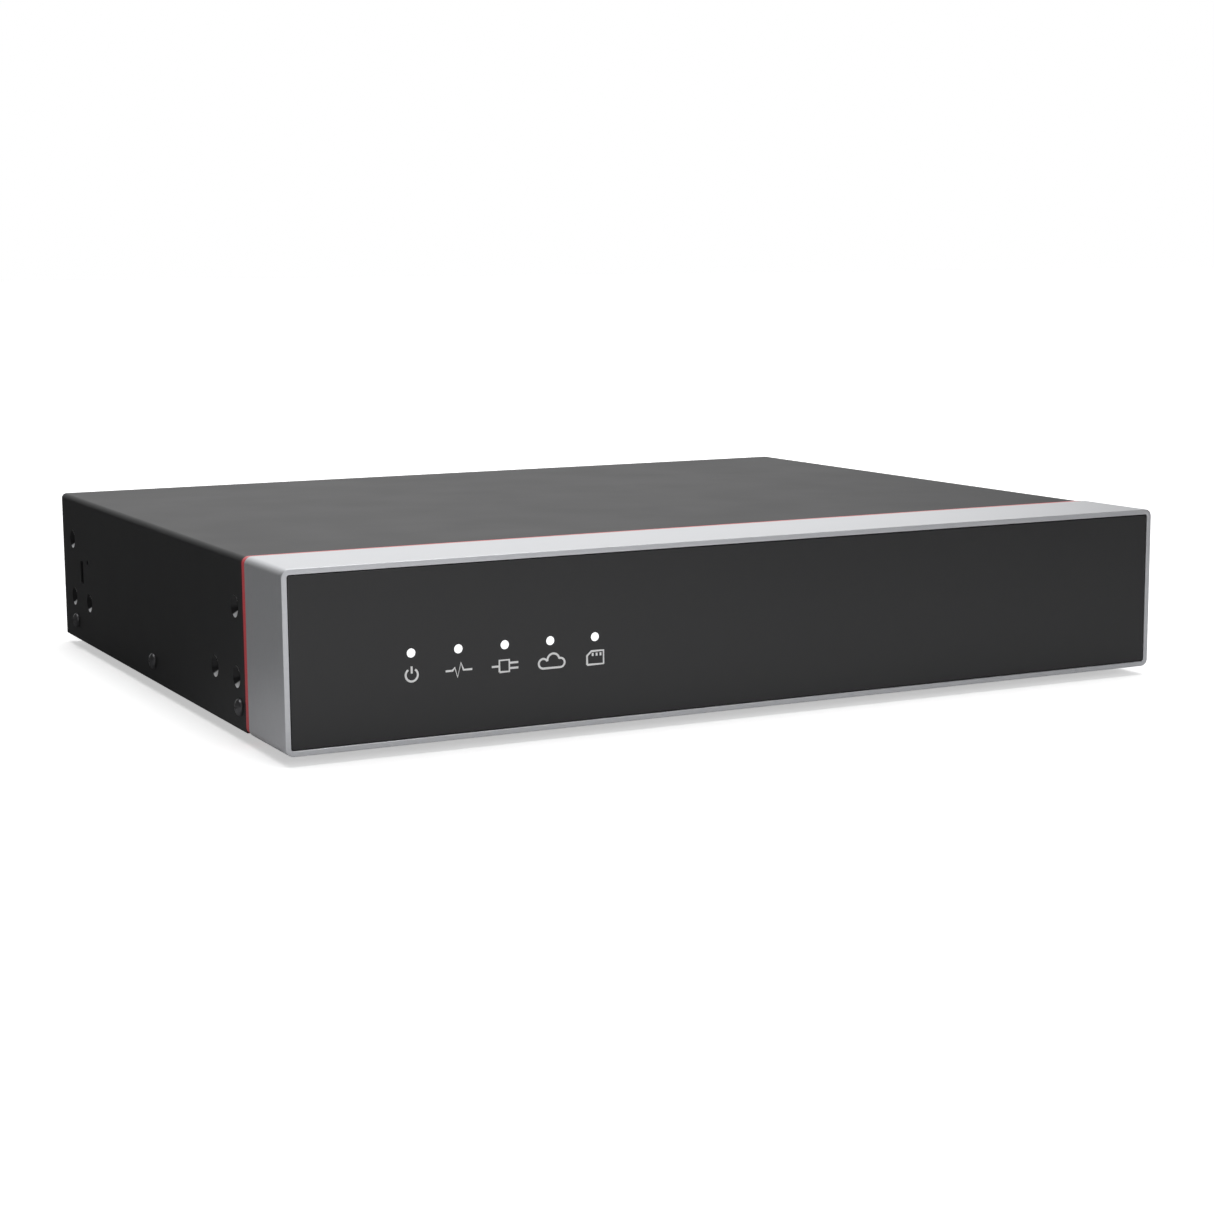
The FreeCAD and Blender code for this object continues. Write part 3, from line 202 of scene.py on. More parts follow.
def copyTo(piece, places, name):
    # the same piece at several places, each with its own mesh, joined to one piece
    made = []
    for location, direction in places:
        again = piece.copy()
        again.data = piece.data.copy()
        bpy.context.scene.collection.objects.link(again)
        made.append(placeAt(again, location, direction))
    bpy.data.objects.remove(piece, do_unlink=True)
    return joinPieces(made, name)


def keep(piece, body, slot, material, *nodes):
    # hand a finished piece over to the frame
    piece.data.materials.clear()
    piece.data.materials.append(material)
    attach(piece, body)
    if nodes:
        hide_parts(*nodes)


def earPlaces(side):
    # the six ear holes of one side, from the record's mounts
    mounts = {mount["name"]: mount for mount in record["mounts"]}
    corners, middle = mounts[side + "_ear_corners"], mounts[side + "_ear_middle"]
    x, y, z = corners["pos_m"]
    halfLong = corners["dims"]["spacing_x_mm"] * mm / 2
    halfHigh = corners["dims"]["spacing_y_mm"] * mm / 2
    places = [Vector((x, y + a * halfLong, z + b * halfHigh)) for a in (-1, 1) for b in (-1, 1)]
    x, y, z = middle["pos_m"]
    halfLong = middle["dims"]["spacing_x_mm"] * mm / 2
    return places + [Vector((x, y + a * halfLong, z)) for a in (-1, 1)]


# shared shader groups

def newGroup(name, inputs, outputs):
    group = bpy.data.node_groups.new(name, "ShaderNodeTree")
    for label, value in inputs.items():
        socket = group.interface.new_socket(name=label, in_out="INPUT", socket_type="NodeSocketFloat")
        socket.default_value = value
    for label in outputs:
        group.interface.new_socket(name=label, in_out="OUTPUT", socket_type="NodeSocketFloat")
    return group, group.nodes.new("NodeGroupInput"), group.nodes.new("NodeGroupOutput")


def addNode(tree, kind, settings=None, **sockets):
    node = tree.nodes.new(kind)
    for setting, value in (settings or {}).items():
        setattr(node, setting, value)
    for socket, value in sockets.items():
        node.inputs[socket.replace("_", " ")].default_value = value
    return node


def mathNode(tree, operation, first, second):
    node = addNode(tree, "ShaderNodeMath", {"operation": operation})
    for number, value in enumerate((first, second)):
        if isinstance(value, (int, float)):
            node.inputs[number].default_value = value
        else:
            tree.links.new(value, node.inputs[number])
    return node.outputs[0]


def makeGrainGroup():
    # fine pebbled grain of powder coat and moulded plastic
    group, given, result = newGroup("pebbleGrain", {"Scale": 1800.0, "Patch": 40.0},
                                    ["Height", "Patches"])
    place = addNode(group, "ShaderNodeTexCoord")
    fine = addNode(group, "ShaderNodeTexNoise", Detail=3.0, Roughness=0.6)
    cells = addNode(group, "ShaderNodeTexVoronoi", {"feature": "SMOOTH_F1"}, Smoothness=0.8)
    patches = addNode(group, "ShaderNodeTexNoise", Detail=2.0, Roughness=0.5)
    for node, size in ((fine, "Scale"), (cells, "Scale"), (patches, "Patch")):
        group.links.new(place.outputs["Object"], node.inputs["Vector"])
        group.links.new(given.outputs[size], node.inputs["Scale"])
    height = mathNode(group, "ADD", fine.outputs["Fac"], cells.outputs["Distance"])
    group.links.new(mathNode(group, "MULTIPLY", height, 0.5), result.inputs["Height"])
    group.links.new(patches.outputs["Fac"], result.inputs["Patches"])
    return group


def makeBrushGroup():
    # hair lines drawn along X, as on brushed aluminium
    group, given, result = newGroup("brushedLines", {"Fine": 900.0, "Along": 0.012},
                                    ["Lines", "Sheen"])
    place = addNode(group, "ShaderNodeTexCoord")
    stretch = addNode(group, "ShaderNodeVectorMath", {"operation": "MULTIPLY"})
    sizes = addNode(group, "ShaderNodeCombineXYZ", Y=1.0, Z=1.0)
    group.links.new(given.outputs["Along"], sizes.inputs["X"])
    group.links.new(place.outputs["Object"], stretch.inputs[0])
    group.links.new(sizes.outputs["Vector"], stretch.inputs[1])
    lines = addNode(group, "ShaderNodeTexNoise", Detail=4.0, Roughness=0.65)
    group.links.new(stretch.outputs["Vector"], lines.inputs["Vector"])
    group.links.new(given.outputs["Fine"], lines.inputs["Scale"])
    sheen = addNode(group, "ShaderNodeTexNoise", Scale=14.0, Detail=2.0)
    group.links.new(place.outputs["Object"], sheen.inputs["Vector"])
    group.links.new(lines.outputs["Fac"], result.inputs["Lines"])
    group.links.new(sheen.outputs["Fac"], result.inputs["Sheen"])
    return group


def makeDustGroup():
    # a thin veil of dust on what faces up
    group, given, result = newGroup("dustVeil", {"Amount": 0.1, "Scale": 60.0}, ["Mask"])
    place = addNode(group, "ShaderNodeTexCoord")
    shape = addNode(group, "ShaderNodeNewGeometry")
    split = addNode(group, "ShaderNodeSeparateXYZ")
    group.links.new(shape.outputs["Normal"], split.inputs["Vector"])
    speck = addNode(group, "ShaderNodeTexNoise", Detail=6.0, Roughness=0.7)
    group.links.new(place.outputs["Object"], speck.inputs["Vector"])
    group.links.new(given.outputs["Scale"], speck.inputs["Scale"])
    up = addNode(group, "ShaderNodeClamp")
    group.links.new(split.outputs["Z"], up.inputs["Value"])
    veil = mathNode(group, "MULTIPLY", up.outputs["Result"], speck.outputs["Fac"])
    group.links.new(mathNode(group, "MULTIPLY", veil, given.outputs["Amount"]), result.inputs["Mask"])
    return group


groups = {"grain": makeGrainGroup(), "brush": makeBrushGroup(), "dust": makeDustGroup()}
print("shader groups ready")


# materials

def newMaterial(name, **sockets):
    material = bpy.data.materials.new(name)
    material.use_nodes = True
    shader = material.node_tree.nodes["Principled BSDF"]
    for socket, value in sockets.items():
        shader.inputs[socket.replace("_", " ")].default_value = value
    return material, material.node_tree, shader


def addGroup(tree, name, **sockets):
    node = tree.nodes.new("ShaderNodeGroup")
    node.node_tree = groups[name]
    for socket, value in sockets.items():
        node.inputs[socket].default_value = value
    return node


def spread(tree, value, low, high):
    # noise keeps mostly between 0.3 and 0.7, and is stretched to a range
    node = addNode(tree, "ShaderNodeMapRange", From_Min=0.3, From_Max=0.7, To_Min=low, To_Max=high)
    tree.links.new(value, node.inputs["Value"])
    return node.outputs["Result"]


def blendColours(tree, mask, first, second):
    node = addNode(tree, "ShaderNodeMix", {"data_type": "RGBA"})
    node.inputs[6].default_value = (*first, 1)
    node.inputs[7].default_value = (*second, 1)
    tree.links.new(mask, node.inputs["Factor"])
    return node.outputs[2]


def bump(tree, shader, height, strength, depth):
    node = addNode(tree, "ShaderNodeBump", Strength=strength, Distance=depth * mm)
    tree.links.new(height, node.inputs["Height"])
    tree.links.new(node.outputs["Normal"], shader.inputs["Normal"])


def grainedMaterial(name, colour, other, rough, scale=1800.0, depth=0.02, strength=0.3,
                    dust=0.0, dustColour=(0.35, 0.34, 0.33), **sockets):
    # paint, plastic or rubber: two close colours in soft patches over a fine grain
    material, tree, shader = newMaterial(name, **sockets)
    grain = addGroup(tree, "grain", Scale=scale)
    surface = blendColours(tree, grain.outputs["Patches"], colour, other)
    if dust:
        veil = addGroup(tree, "dust", Amount=dust)
        layer = addNode(tree, "ShaderNodeMix", {"data_type": "RGBA"})
        layer.inputs[7].default_value = (*dustColour, 1)
        tree.links.new(veil.outputs["Mask"], layer.inputs["Factor"])
        tree.links.new(surface, layer.inputs[6])
        surface = layer.outputs[2]
    tree.links.new(surface, shader.inputs["Base Color"])
    tree.links.new(spread(tree, grain.outputs["Patches"], *rough), shader.inputs["Roughness"])
    bump(tree, shader, grain.outputs["Height"], strength, depth)
    return material


def brushedMaterial(name, colour, other, rough, fine=900.0, along=0.012, strength=0.15, metal=1.0):
    # drawn or brushed metal, its lines along X
    material, tree, shader = newMaterial(name, Metallic=metal)
    brush = addGroup(tree, "brush", Fine=fine, Along=along)
    tree.links.new(blendColours(tree, brush.outputs["Lines"], colour, other),
                   shader.inputs["Base Color"])
    tree.links.new(spread(tree, brush.outputs["Lines"], *rough), shader.inputs["Roughness"])
    bump(tree, shader, brush.outputs["Lines"], strength, 0.01)
    return material


def platedMaterial(name, colour, other, rough, scale=600.0):
    # bright plating with faint clouding
    material, tree, shader = newMaterial(name, Metallic=1.0)
    grain = addGroup(tree, "grain", Scale=scale, Patch=220.0)
    tree.links.new(blendColours(tree, grain.outputs["Patches"], colour, other),
                   shader.inputs["Base Color"])
    tree.links.new(spread(tree, grain.outputs["Patches"], *rough), shader.inputs["Roughness"])
    bump(tree, shader, grain.outputs["Height"], 0.05, 0.005)
    return material


def circuitMaterial():
    # green solder mask over a faint grid of tracks
    material, tree, shader = newMaterial("circuitGreen")
    place = addNode(tree, "ShaderNodeTexCoord")
    tracks = addNode(tree, "ShaderNodeTexBrick", Scale=160.0, Mortar_Size=0.03)
    tracks.inputs["Color1"].default_value = (0.012, 0.10, 0.035, 1)
    tracks.inputs["Color2"].default_value = (0.018, 0.13, 0.045, 1)
    tracks.inputs["Mortar"].default_value = (0.03, 0.20, 0.07, 1)
    tree.links.new(place.outputs["Object"], tracks.inputs["Vector"])
    tree.links.new(tracks.outputs["Color"], shader.inputs["Base Color"])
    tree.links.new(spread(tree, tracks.outputs["Fac"], 0.3, 0.42), shader.inputs["Roughness"])
    bump(tree, shader, tracks.outputs["Fac"], 0.2, 0.03)
    return material


def lensMaterial():
    # frosted lamp lens, softly lit from behind
    material, tree, shader = newMaterial("lampLens", Emission_Strength=0.85, Roughness=0.35)
    grain = addGroup(tree, "grain", Scale=2500.0, Patch=900.0)
    glow = blendColours(tree, grain.outputs["Patches"], (0.93, 0.95, 0.97), (1.0, 1.0, 1.0))
    tree.links.new(glow, shader.inputs["Base Color"])
    tree.links.new(glow, shader.inputs["Emission Color"])
    bump(tree, shader, grain.outputs["Height"], 0.1, 0.01)
    return material


materials = {
    "frame_silver": brushedMaterial("frameSilver", (0.62, 0.63, 0.655), (0.74, 0.75, 0.77), (0.3, 0.4),
                                    metal=0.75),
    "panel_black": grainedMaterial("panelBlack", (0.019, 0.019, 0.020), (0.022, 0.022, 0.023),
                                   (0.30, 0.34), scale=3000.0, depth=0.004, strength=0.1),
    "accent_red": grainedMaterial("accentRed", (0.64, 0.042, 0.057), (0.72, 0.055, 0.072), (0.3, 0.4),
                                  depth=0.01),
    "cover_grey": grainedMaterial("coverPaint", (0.0125, 0.013, 0.0138), (0.0145, 0.015, 0.016),
                                  (0.49, 0.52), scale=2200.0, depth=0.012, strength=0.25, dust=0.02,
                                  Specular_IOR_Level=0.4),
    "chassis_grey": grainedMaterial("chassisPaint", (0.022, 0.0225, 0.0235), (0.0245, 0.025, 0.026),
                                    (0.45, 0.5), scale=2200.0, depth=0.012, strength=0.25),
    "black_screw": grainedMaterial("blackScrew", (0.10, 0.10, 0.105), (0.15, 0.15, 0.155),
                                   (0.3, 0.42), scale=900.0, depth=0.006, Metallic=0.8),
    "zinc_screw": platedMaterial("zincPlate", (0.55, 0.56, 0.57), (0.66, 0.66, 0.65), (0.28, 0.4)),
    "rubber": grainedMaterial("footRubber", (0.012, 0.012, 0.012), (0.02, 0.02, 0.02), (0.7, 0.85),
                              scale=1200.0, depth=0.04, strength=0.5, dust=0.2),
    "clear_plastic": lensMaterial(),
    "lamp_white": grainedMaterial("lampWhite", (0.85, 0.85, 0.78), (0.9, 0.9, 0.85), (0.3, 0.4)),
    "circuit_board": circuitMaterial(),
    "black_plastic": grainedMaterial("blackPlastic", (0.014, 0.014, 0.015), (0.022, 0.022, 0.023),
                                     (0.38, 0.5), scale=1500.0, depth=0.015),
    "white_plastic": grainedMaterial("whitePlastic", (0.74, 0.74, 0.7), (0.8, 0.8, 0.77), (0.35, 0.45)),
    "blue_plastic": grainedMaterial("bluePlastic", (0.012, 0.05, 0.30), (0.018, 0.07, 0.36), (0.35, 0.45)),
    "green_plastic": grainedMaterial("greenPlastic", (0.012, 0.22, 0.06), (0.018, 0.28, 0.08), (0.38, 0.5)),
    "nickel": platedMaterial("nickelPlate", (0.66, 0.63, 0.58), (0.74, 0.72, 0.68), (0.14, 0.24)),
    "tinned_steel": platedMaterial("tinPlate", (0.58, 0.58, 0.58), (0.7, 0.7, 0.69), (0.24, 0.36)),
    "gold_contact": platedMaterial("goldFlash", (0.80, 0.55, 0.20), (0.90, 0.66, 0.28), (0.16, 0.26)),
    "cast_aluminium": grainedMaterial("castAluminium", (0.5, 0.51, 0.52), (0.6, 0.6, 0.61), (0.4, 0.55),
                                      scale=1400.0, depth=0.03, Metallic=1.0),
    "black_aluminium": grainedMaterial("blackAnodised", (0.02, 0.02, 0.024), (0.03, 0.03, 0.034),
                                       (0.35, 0.45), Metallic=0.6),
    "steel_sheet": brushedMaterial("steelSheet", (0.5, 0.51, 0.52), (0.62, 0.62, 0.63), (0.26, 0.38)),
    "magnet": platedMaterial("magnetPlate", (0.6, 0.6, 0.62), (0.68, 0.68, 0.7), (0.18, 0.28)),
    "lead_black": grainedMaterial("leadJacket", (0.014, 0.014, 0.015), (0.024, 0.024, 0.025),
                                  (0.5, 0.62), depth=0.02),
}
printWhite = grainedMaterial("printWhite", (0.78, 0.78, 0.78), (0.86, 0.86, 0.86), (0.5, 0.6),
                             scale=2500.0, depth=0.004)


# the first colour is the cone's black paint, the second a painted highlight on the faces that look up,
# spread over the given range of the normal's height
dishLook = {"paint": (0.012, 0.012, 0.013), "paintedHighlight": (0.85, 0.85, 0.86), "highlightFrom": 0.52, "highlightTo": 0.6}


def dishMaterial(look):
    # black countersink with a painted highlight: its faces that look up, at the cone's bottom lip where the
    # overhead light would catch it, are painted bright
    material, tree, shader = newMaterial("earDish", Metallic=0.25, Roughness=0.4)
    shape = addNode(tree, "ShaderNodeNewGeometry")
    split = addNode(tree, "ShaderNodeSeparateXYZ")
    tree.links.new(shape.outputs["Normal"], split.inputs["Vector"])
    # mask of the painted highlight: how far each face of the cone looks up
    upFacingHighlight = addNode(tree, "ShaderNodeMapRange", From_Min=look["highlightFrom"], From_Max=look["highlightTo"])
    tree.links.new(split.outputs["Z"], upFacingHighlight.inputs["Value"])
    surface = blendColours(tree, upFacingHighlight.outputs["Result"], look["paint"], look["paintedHighlight"])
    tree.links.new(surface, shader.inputs["Base Color"])
    grain = addGroup(tree, "grain", Scale=1500.0)
    bump(tree, shader, grain.outputs["Height"], 0.15, 0.01)
    return material


dishBlack = dishMaterial(dishLook)
slotOf = {part["node"]: part["material_slot"] for part in record["subparts"]}
for node, piece in frame["nodes"].items():
    piece.data.materials.clear()
    piece.data.materials.append(materials[slotOf[node]])
print("materials ready:", len(materials))


# silver front frame and red band

frameLook = {"wall": 1.4, "corner": 2.0, "cornerSteps": 8, "lip": 0.16, "lipSteps": 3}
bandLook = {"wall": 2.0, "corner": 1.8, "cornerSteps": 8, "lip": 0.12, "lipSteps": 2}


def makeRing(name, low, high, look):
    # a bar with four rounded edges, both ends inset and bridged into a tube
    ring = addBox(name, low, high)
    pick(ring, "EDGE", lambda edge: runsAlong(edge, 1))
    bpy.ops.mesh.bevel(offset=look["corner"] * mm, segments=look["cornerSteps"], affect="EDGES")
    pick(ring, "FACE", lambda face: abs(face.normal.y) > 0.9)
    bpy.ops.mesh.inset(thickness=look["wall"] * mm, use_individual=True)
    bpy.ops.mesh.bridge_edge_loops()
    bpy.ops.mesh.select_all(action="SELECT")
    bpy.ops.mesh.normals_make_consistent(inside=False)
    objectMode()
    softenEdges(ring, look["lip"], look["lipSteps"], 40)
    smooth(ring)
    return ring


bandLow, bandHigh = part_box("accent_strip")
frameLow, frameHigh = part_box("front_frame")
frontFrame = makeRing("frontFrame", frameLow, (frameHigh.x, bandLow.y, frameHigh.z), frameLook)
keep(frontFrame, "recorder", "frame_silver", materials["frame_silver"], "front_frame")
accentBand = makeRing("accentBand", bandLow, bandHigh, bandLook)
keep(accentBand, "recorder", "accent_red", materials["accent_red"], "accent_strip")
print("front frame and band done")


# front panel, lamps and symbols

panelLook = {"recess": 0.12, "edge": 0.3, "edgeSteps": 3, "lamps": 5, "hole": 1.15}
lensProfile = ((0, 0), (0.65, -0.03), (0.95, -0.1), (1.09, -0.25), (1.09, -5.1), (0, -5.1))


def lampPlaces():
    low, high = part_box("light_pipes")
    radius = (high.z - low.z) / 2
    step = (high.x - low.x - 2 * radius) / (panelLook["lamps"] - 1)
    middle = (high.z + low.z) / 2
    return [Vector((low.x + radius + i * step, low.y, middle)) for i in range(panelLook["lamps"])]


lamps = lampPlaces()


def makePanel(look):
    low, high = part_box("front_panel")
    low.y += look["recess"] * mm
    panel = addBox("frontPanel", low, high)
    pick(panel, "EDGE", lambda edge: edgeMiddle(edge).y < low.y + near)
    bpy.ops.mesh.bevel(offset=look["edge"] * mm, segments=look["edgeSteps"], affect="EDGES")
    objectMode()
    reach = 4 * (high.y - low.y)
    holes = [addRod("hole", (spot.x, low.y - reach / 2, spot.z), (0, 1, 0),
                    look["hole"] * mm, reach, 40) for spot in lamps]
    cutAway(panel, holes)
    smooth(panel)
    keep(panel, "recorder", "panel_black", materials["panel_black"], "front_panel")
    return low.y


panelFace = makePanel(panelLook)
lens = spinProfile("lampLenses", lensProfile, 32)
lenses = copyTo(lens, [(spot, (0, -1, 0)) for spot in lamps], "lampLenses")
smooth(lenses)
keep(lenses, "recorder", "clear_plastic", materials["clear_plastic"], "light_pipes")


def arc(x, y, radius, start, end, steps=20):
    # points of an arc, angles in degrees
    angles = [math.radians(start + (end - start) * i / steps) for i in range(steps + 1)]
    return [(x + radius * math.cos(angle), y + radius * math.sin(angle)) for angle in angles]


def drawStroke(points, width):
    # one printed line: a chain made a round bar, then pressed flat
    drawChain("stroke", [(x, y, 0) for x, y in points])
    objectMode()
    bpy.ops.object.convert(target="CURVE")
    stroke = bpy.context.object
    stroke.data.bevel_depth = width * mm / 2
    stroke.data.bevel_resolution = 2
    stroke.data.use_fill_caps = True
    bpy.ops.object.convert(target="MESH")
    stroke = bpy.context.object
    stroke.scale = (1, 1, printLook["flat"])
    bpy.ops.object.transform_apply(location=True, rotation=True, scale=True)
    return stroke


# each symbol is a few lines, in mm from its middle
frontSymbols = {
    "power": [arc(0, -0.1, 1.3, 125, 415, 28), [(0, 0.2), (0, 1.65)]],
    "pulse": [[(-2.9, 0), (-1.4, 0), (-0.9, 0.6), (-0.3, -1.4), (0.45, 1.5), (1.0, 0), (2.9, 0)]],
    "port": [[(-3.0, 0), (-1.3, 0)], [(-1.3, -1.2), (0.9, -1.2), (0.9, 1.2), (-1.3, 1.2), (-1.3, -1.2)],
             [(0.9, 0.55), (2.9, 0.55)], [(0.9, -0.55), (2.9, -0.55)]],
    "cloud": [[(-1.7, -1.3), (2.2, -1.3)], arc(2.2, -0.35, 0.95, -90, 107, 14),
              arc(0.6, 0.3, 1.35, 8, 187, 20), arc(-1.7, -0.3, 1.0, 25, 270, 18)],
    "card": [[(-1.9, -1.4), (1.9, -1.4), (1.9, 1.4), (-0.9, 1.4), (-1.9, 0.5), (-1.9, -1.4)],
             [(-0.6, 0.35), (-0.6, 1.0)], [(0.3, 0.35), (0.3, 1.0)], [(1.2, 0.35), (1.2, 1.0)]],
}
printLook = {"line": 0.44, "drop": 5.2, "stand": 0.01, "size": 1.2, "flat": 0.12}


def printSymbols(symbols, line):
    for spot, (name, strokes) in zip(lamps, symbols.items()):
        drawn = joinPieces([drawStroke(points, line) for points in strokes], name + "Symbol")
        drawn.scale = (printLook["size"], printLook["size"], 1)
        place = (spot.x, panelFace - printLook["stand"] * mm, spot.z - printLook["drop"] * mm)
        placeAt(drawn, place, (0, -1, 0))
        keep(drawn, "recorder", "white_plastic", printWhite)


printSymbols(frontSymbols, printLook["line"])
print("front panel, lamps and symbols done")


# top cover

coverLook = {"sheet": 1.0, "bend": 1.5, "bendSteps": 6, "edge": 0.1, "earMouth": 2.8, "cut": 4.0}
lockSlot = {"along": 76.5, "up": 24.3, "wide": 3.0, "high": 7.0, "round": 0.6}
pinHole = {"along": 69.6, "up": 27.8, "radius": 0.9}
fanVents = {"along": -22.0, "up": 24.7, "wide": 2.2, "pitch": 4.0, "reach": 17.5, "each": 4,
            "round": 1.05}
dishProfile = ((2.8, 0), (2.68, -0.06), (1.55, -1.22), (1.5, -1.3), (1.5, -2.5), (1.6, -2.6),
               (3.4, -2.6), (3.5, -2.5), (3.5, -1.0), (2.8, -1.0), (2.8, 0))


def uprightSlot(x, along, up, wide, high, rounding):
    # a rounded slot through a side wall
    cut = coverLook["cut"] * mm
    slot = addBox("slot", (x - cut, (along - wide / 2) * mm, (up - high / 2) * mm),
                  (x + cut, (along + wide / 2) * mm, (up + high / 2) * mm))
    pick(slot, "EDGE", lambda edge: runsAlong(edge, 0))
    bpy.ops.mesh.bevel(offset=rounding * mm, segments=5, affect="EDGES")
    objectMode()
    return slot


def makeCover(look):
    low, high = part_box("top_cover")
    cover = addBox("topCover", low, high)
    pick(cover, "EDGE", lambda edge: runsAlong(edge, 1) and edgeMiddle(edge).z > high.z - near)
    bpy.ops.mesh.bevel(offset=look["bend"] * mm, segments=look["bendSteps"], affect="EDGES")
    pick(cover, "FACE", lambda face: abs(face.normal.y) > 0.9 or face.normal.z < -0.9)
    bpy.ops.mesh.delete(type="FACE")
    objectMode()
    applyModifier(cover, "SOLIDIFY", thickness=look["sheet"] * mm, offset=-1, use_even_offset=True)
    cut = look["cut"] * mm
    cutters = []
    for side, x in (("left", low.x), ("right", high.x)):
        cutters += [addRod("mouth", (x - cut, spot.y, spot.z), (1, 0, 0), look["earMouth"] * mm,
                           2 * cut, 40) for spot in earPlaces(side)]
    cutters.append(uprightSlot(low.x, lockSlot["along"], lockSlot["up"], lockSlot["wide"],
                               lockSlot["high"], lockSlot["round"]))
    cutters.append(addRod("pin", (low.x - cut, pinHole["along"] * mm, pinHole["up"] * mm), (1, 0, 0),
                          pinHole["radius"] * mm, 2 * cut, 24))
    for i in range(-fanVents["each"], fanVents["each"] + 1):
        offset = i * fanVents["pitch"]
        tall = 2 * math.sqrt(fanVents["reach"] ** 2 - offset ** 2)
        cutters.append(uprightSlot(high.x, fanVents["along"] + offset, fanVents["up"],
                                   fanVents["wide"], tall, fanVents["round"]))
    cutAway(cover, cutters)
    softenEdges(cover, look["edge"], 2, 50)
    smooth(cover)
    keep(cover, "recorder", "cover_grey", materials["cover_grey"], "top_cover")
    dish = spinProfile("earDishes", dishProfile, 36)
    places = [(Vector((low.x, spot.y, spot.z)), (-1, 0, 0)) for spot in earPlaces("left")]
    places += [(Vector((high.x, spot.y, spot.z)), (1, 0, 0)) for spot in earPlaces("right")]
    dishes = copyTo(dish, places, "earDishes")
    smooth(dishes)
    keep(dishes, "recorder", "black_screw", dishBlack)


makeCover(coverLook)
print("top cover done")


# screws and feet

screwLooks = {
    "coverScrews": {"head": 2.2, "rise": 1.3, "shank": 1.45, "long": 5.8, "cross": (2.5, 0.55, 1.0)},
    "groundScrew": {"head": 3.0, "rise": 1.6, "shank": 1.4, "long": 4.0, "cross": (3.2, 0.65, 1.1)},
    "footScrews": {"head": 3.0, "rise": 1.6, "shank": 1.4, "long": 3.4, "cross": (3.2, 0.65, 1.1)},
}
coverScrewsAt = {"along": (-75.0, 1.0, 84.5), "up": 8.6}
screwEdge = {"width": 0.06, "segments": 2, "angle": 40}
footProfile = ((1.7, 0), (1.7, 1.2), (3.9, 1.2), (4.2, 1.5), (4.2, 2.55), (4.5, 2.9), (7.3, 2.9),
               (7.8, 2.55), (8.0, 1.9), (8.0, 0), (1.7, 0))
footLook = {"across": 100.0, "along": (-62.0, 78.0)}


def footPlaces():
    across = footLook["across"] * mm
    return [(x, along * mm) for x in (-across, across) for along in footLook["along"]]


def crossScrew(name):
    # a domed head with a cross recess on a plain shank, its seat at zero
    look = screwLooks[name]
    head, rise, shank, long = look["head"], look["rise"], look["shank"], look["long"]
    turns = [math.radians(15 * step) for step in range(7)]
    dome = [(head * math.sin(turn), rise * (0.15 + 0.85 * math.cos(turn))) for turn in turns]
    screw = spinProfile(name, dome + [(head, 0), (shank, 0), (shank, 0.4 - long),
                                      (shank - 0.35, -long), (0, -long)], 32)
    half, wide, deep = look["cross"][0] / 2, look["cross"][1] / 2, look["cross"][2]
    bars = []
    for longX, longY in ((half, wide), (wide, half)):
        bar = addBox("bar", (-longX * mm, -longY * mm, (rise - deep) * mm),
                     (longX * mm, longY * mm, (rise + 1) * mm))
        pick(bar, "FACE", lambda face: face.normal.z < -0.9)
        bpy.ops.transform.resize(value=(0.6, 0.6, 1))
        objectMode()
        bars.append(bar)
    cutAway(screw, bars)
    return screw


def fitScrews(name, node, places):
    screws = copyTo(crossScrew(name), places, name)
    softenEdges(screws, **screwEdge)
    smooth(screws)
    keep(screws, "recorder", slotOf[node], materials[slotOf[node]], node)


def makeScrews():
    low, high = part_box("top_cover")
    places = []
    for x, way in ((low.x, -1), (high.x, 1)):
        places += [(Vector((x, along * mm, coverScrewsAt["up"] * mm)), (way, 0, 0))
                   for along in coverScrewsAt["along"]]
    fitScrews("coverScrews", "cover_screws", places)
    low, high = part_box("ground_screw")
    seat = high.y - screwLooks["groundScrew"]["rise"] * mm
    fitScrews("groundScrew", "ground_screw", [(Vector(((low.x + high.x) / 2, seat, (low.z + high.z) / 2)),
                                               (0, 1, 0))])
    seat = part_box("foot_screws")[0].z + screwLooks["footScrews"]["rise"] * mm
    fitScrews("footScrews", "foot_screws", [(Vector((x, y, seat)), (0, 0, -1)) for x, y in footPlaces()])


def makeFeet():
    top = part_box("rubber_feet")[1].z
    foot = spinProfile("rubberFeet", footProfile, 48)
    feet = copyTo(foot, [(Vector((x, y, top)), (0, 0, -1)) for x, y in footPlaces()], "rubberFeet")
    smooth(feet)
    keep(feet, "recorder", "rubber", materials["rubber"], "rubber_feet")


makeScrews()
makeFeet()
print("screws and feet done")


# video and audio sockets at the back

jackProfile = ((2.5, 4.5), (4.0, 4.5), (4.0, 13.1), (4.2, 13.5), (4.65, 13.5), (4.8, 13.3), (4.8, 12.4),
               (4.62, 12.2), (4.62, 3.4), (4.8, 3.2), (4.8, 2.6), (5.95, 2.6), (6.2, 2.35), (6.2, 0),
               (2.5, 0), (2.5, 4.5))
jackLook = {"columns": (-108.0, -92.5, -77.0, -61.5), "rows": (19.5, 35.0), "base": 96.5,
            "lug": 0.95, "lugIn": 4.3, "lugOut": 5.9, "lugAt": 9.3}
numberLook = {"tall": 3.2, "thick": 0.02, "above": 43.1, "below": 9.9}


def makeJacks(look):
    jack = spinProfile("videoJacks", jackProfile, 48)
    lugs = []
    for way in (-1, 1):
        lug = addRod("lug", (way * look["lugIn"] * mm, 0, look["lugAt"] * mm), (way, 0, 0),
                     look["lug"] * mm, (look["lugOut"] - look["lugIn"]) * mm, 24)
        softenEdges(lug, 0.2, 3, 60)
        lugs.append(lug)
    jack = joinPieces([jack] + lugs, "videoJacks")
    places = [(Vector((x * mm, look["base"] * mm, z * mm)), (0, 1, 0))
              for x in look["columns"] for z in look["rows"]]
    jacks = copyTo(jack, places, "videoJacks")
    smooth(jacks)
    keep(jacks, "recorder", "nickel", materials["nickel"], "video_jacks")


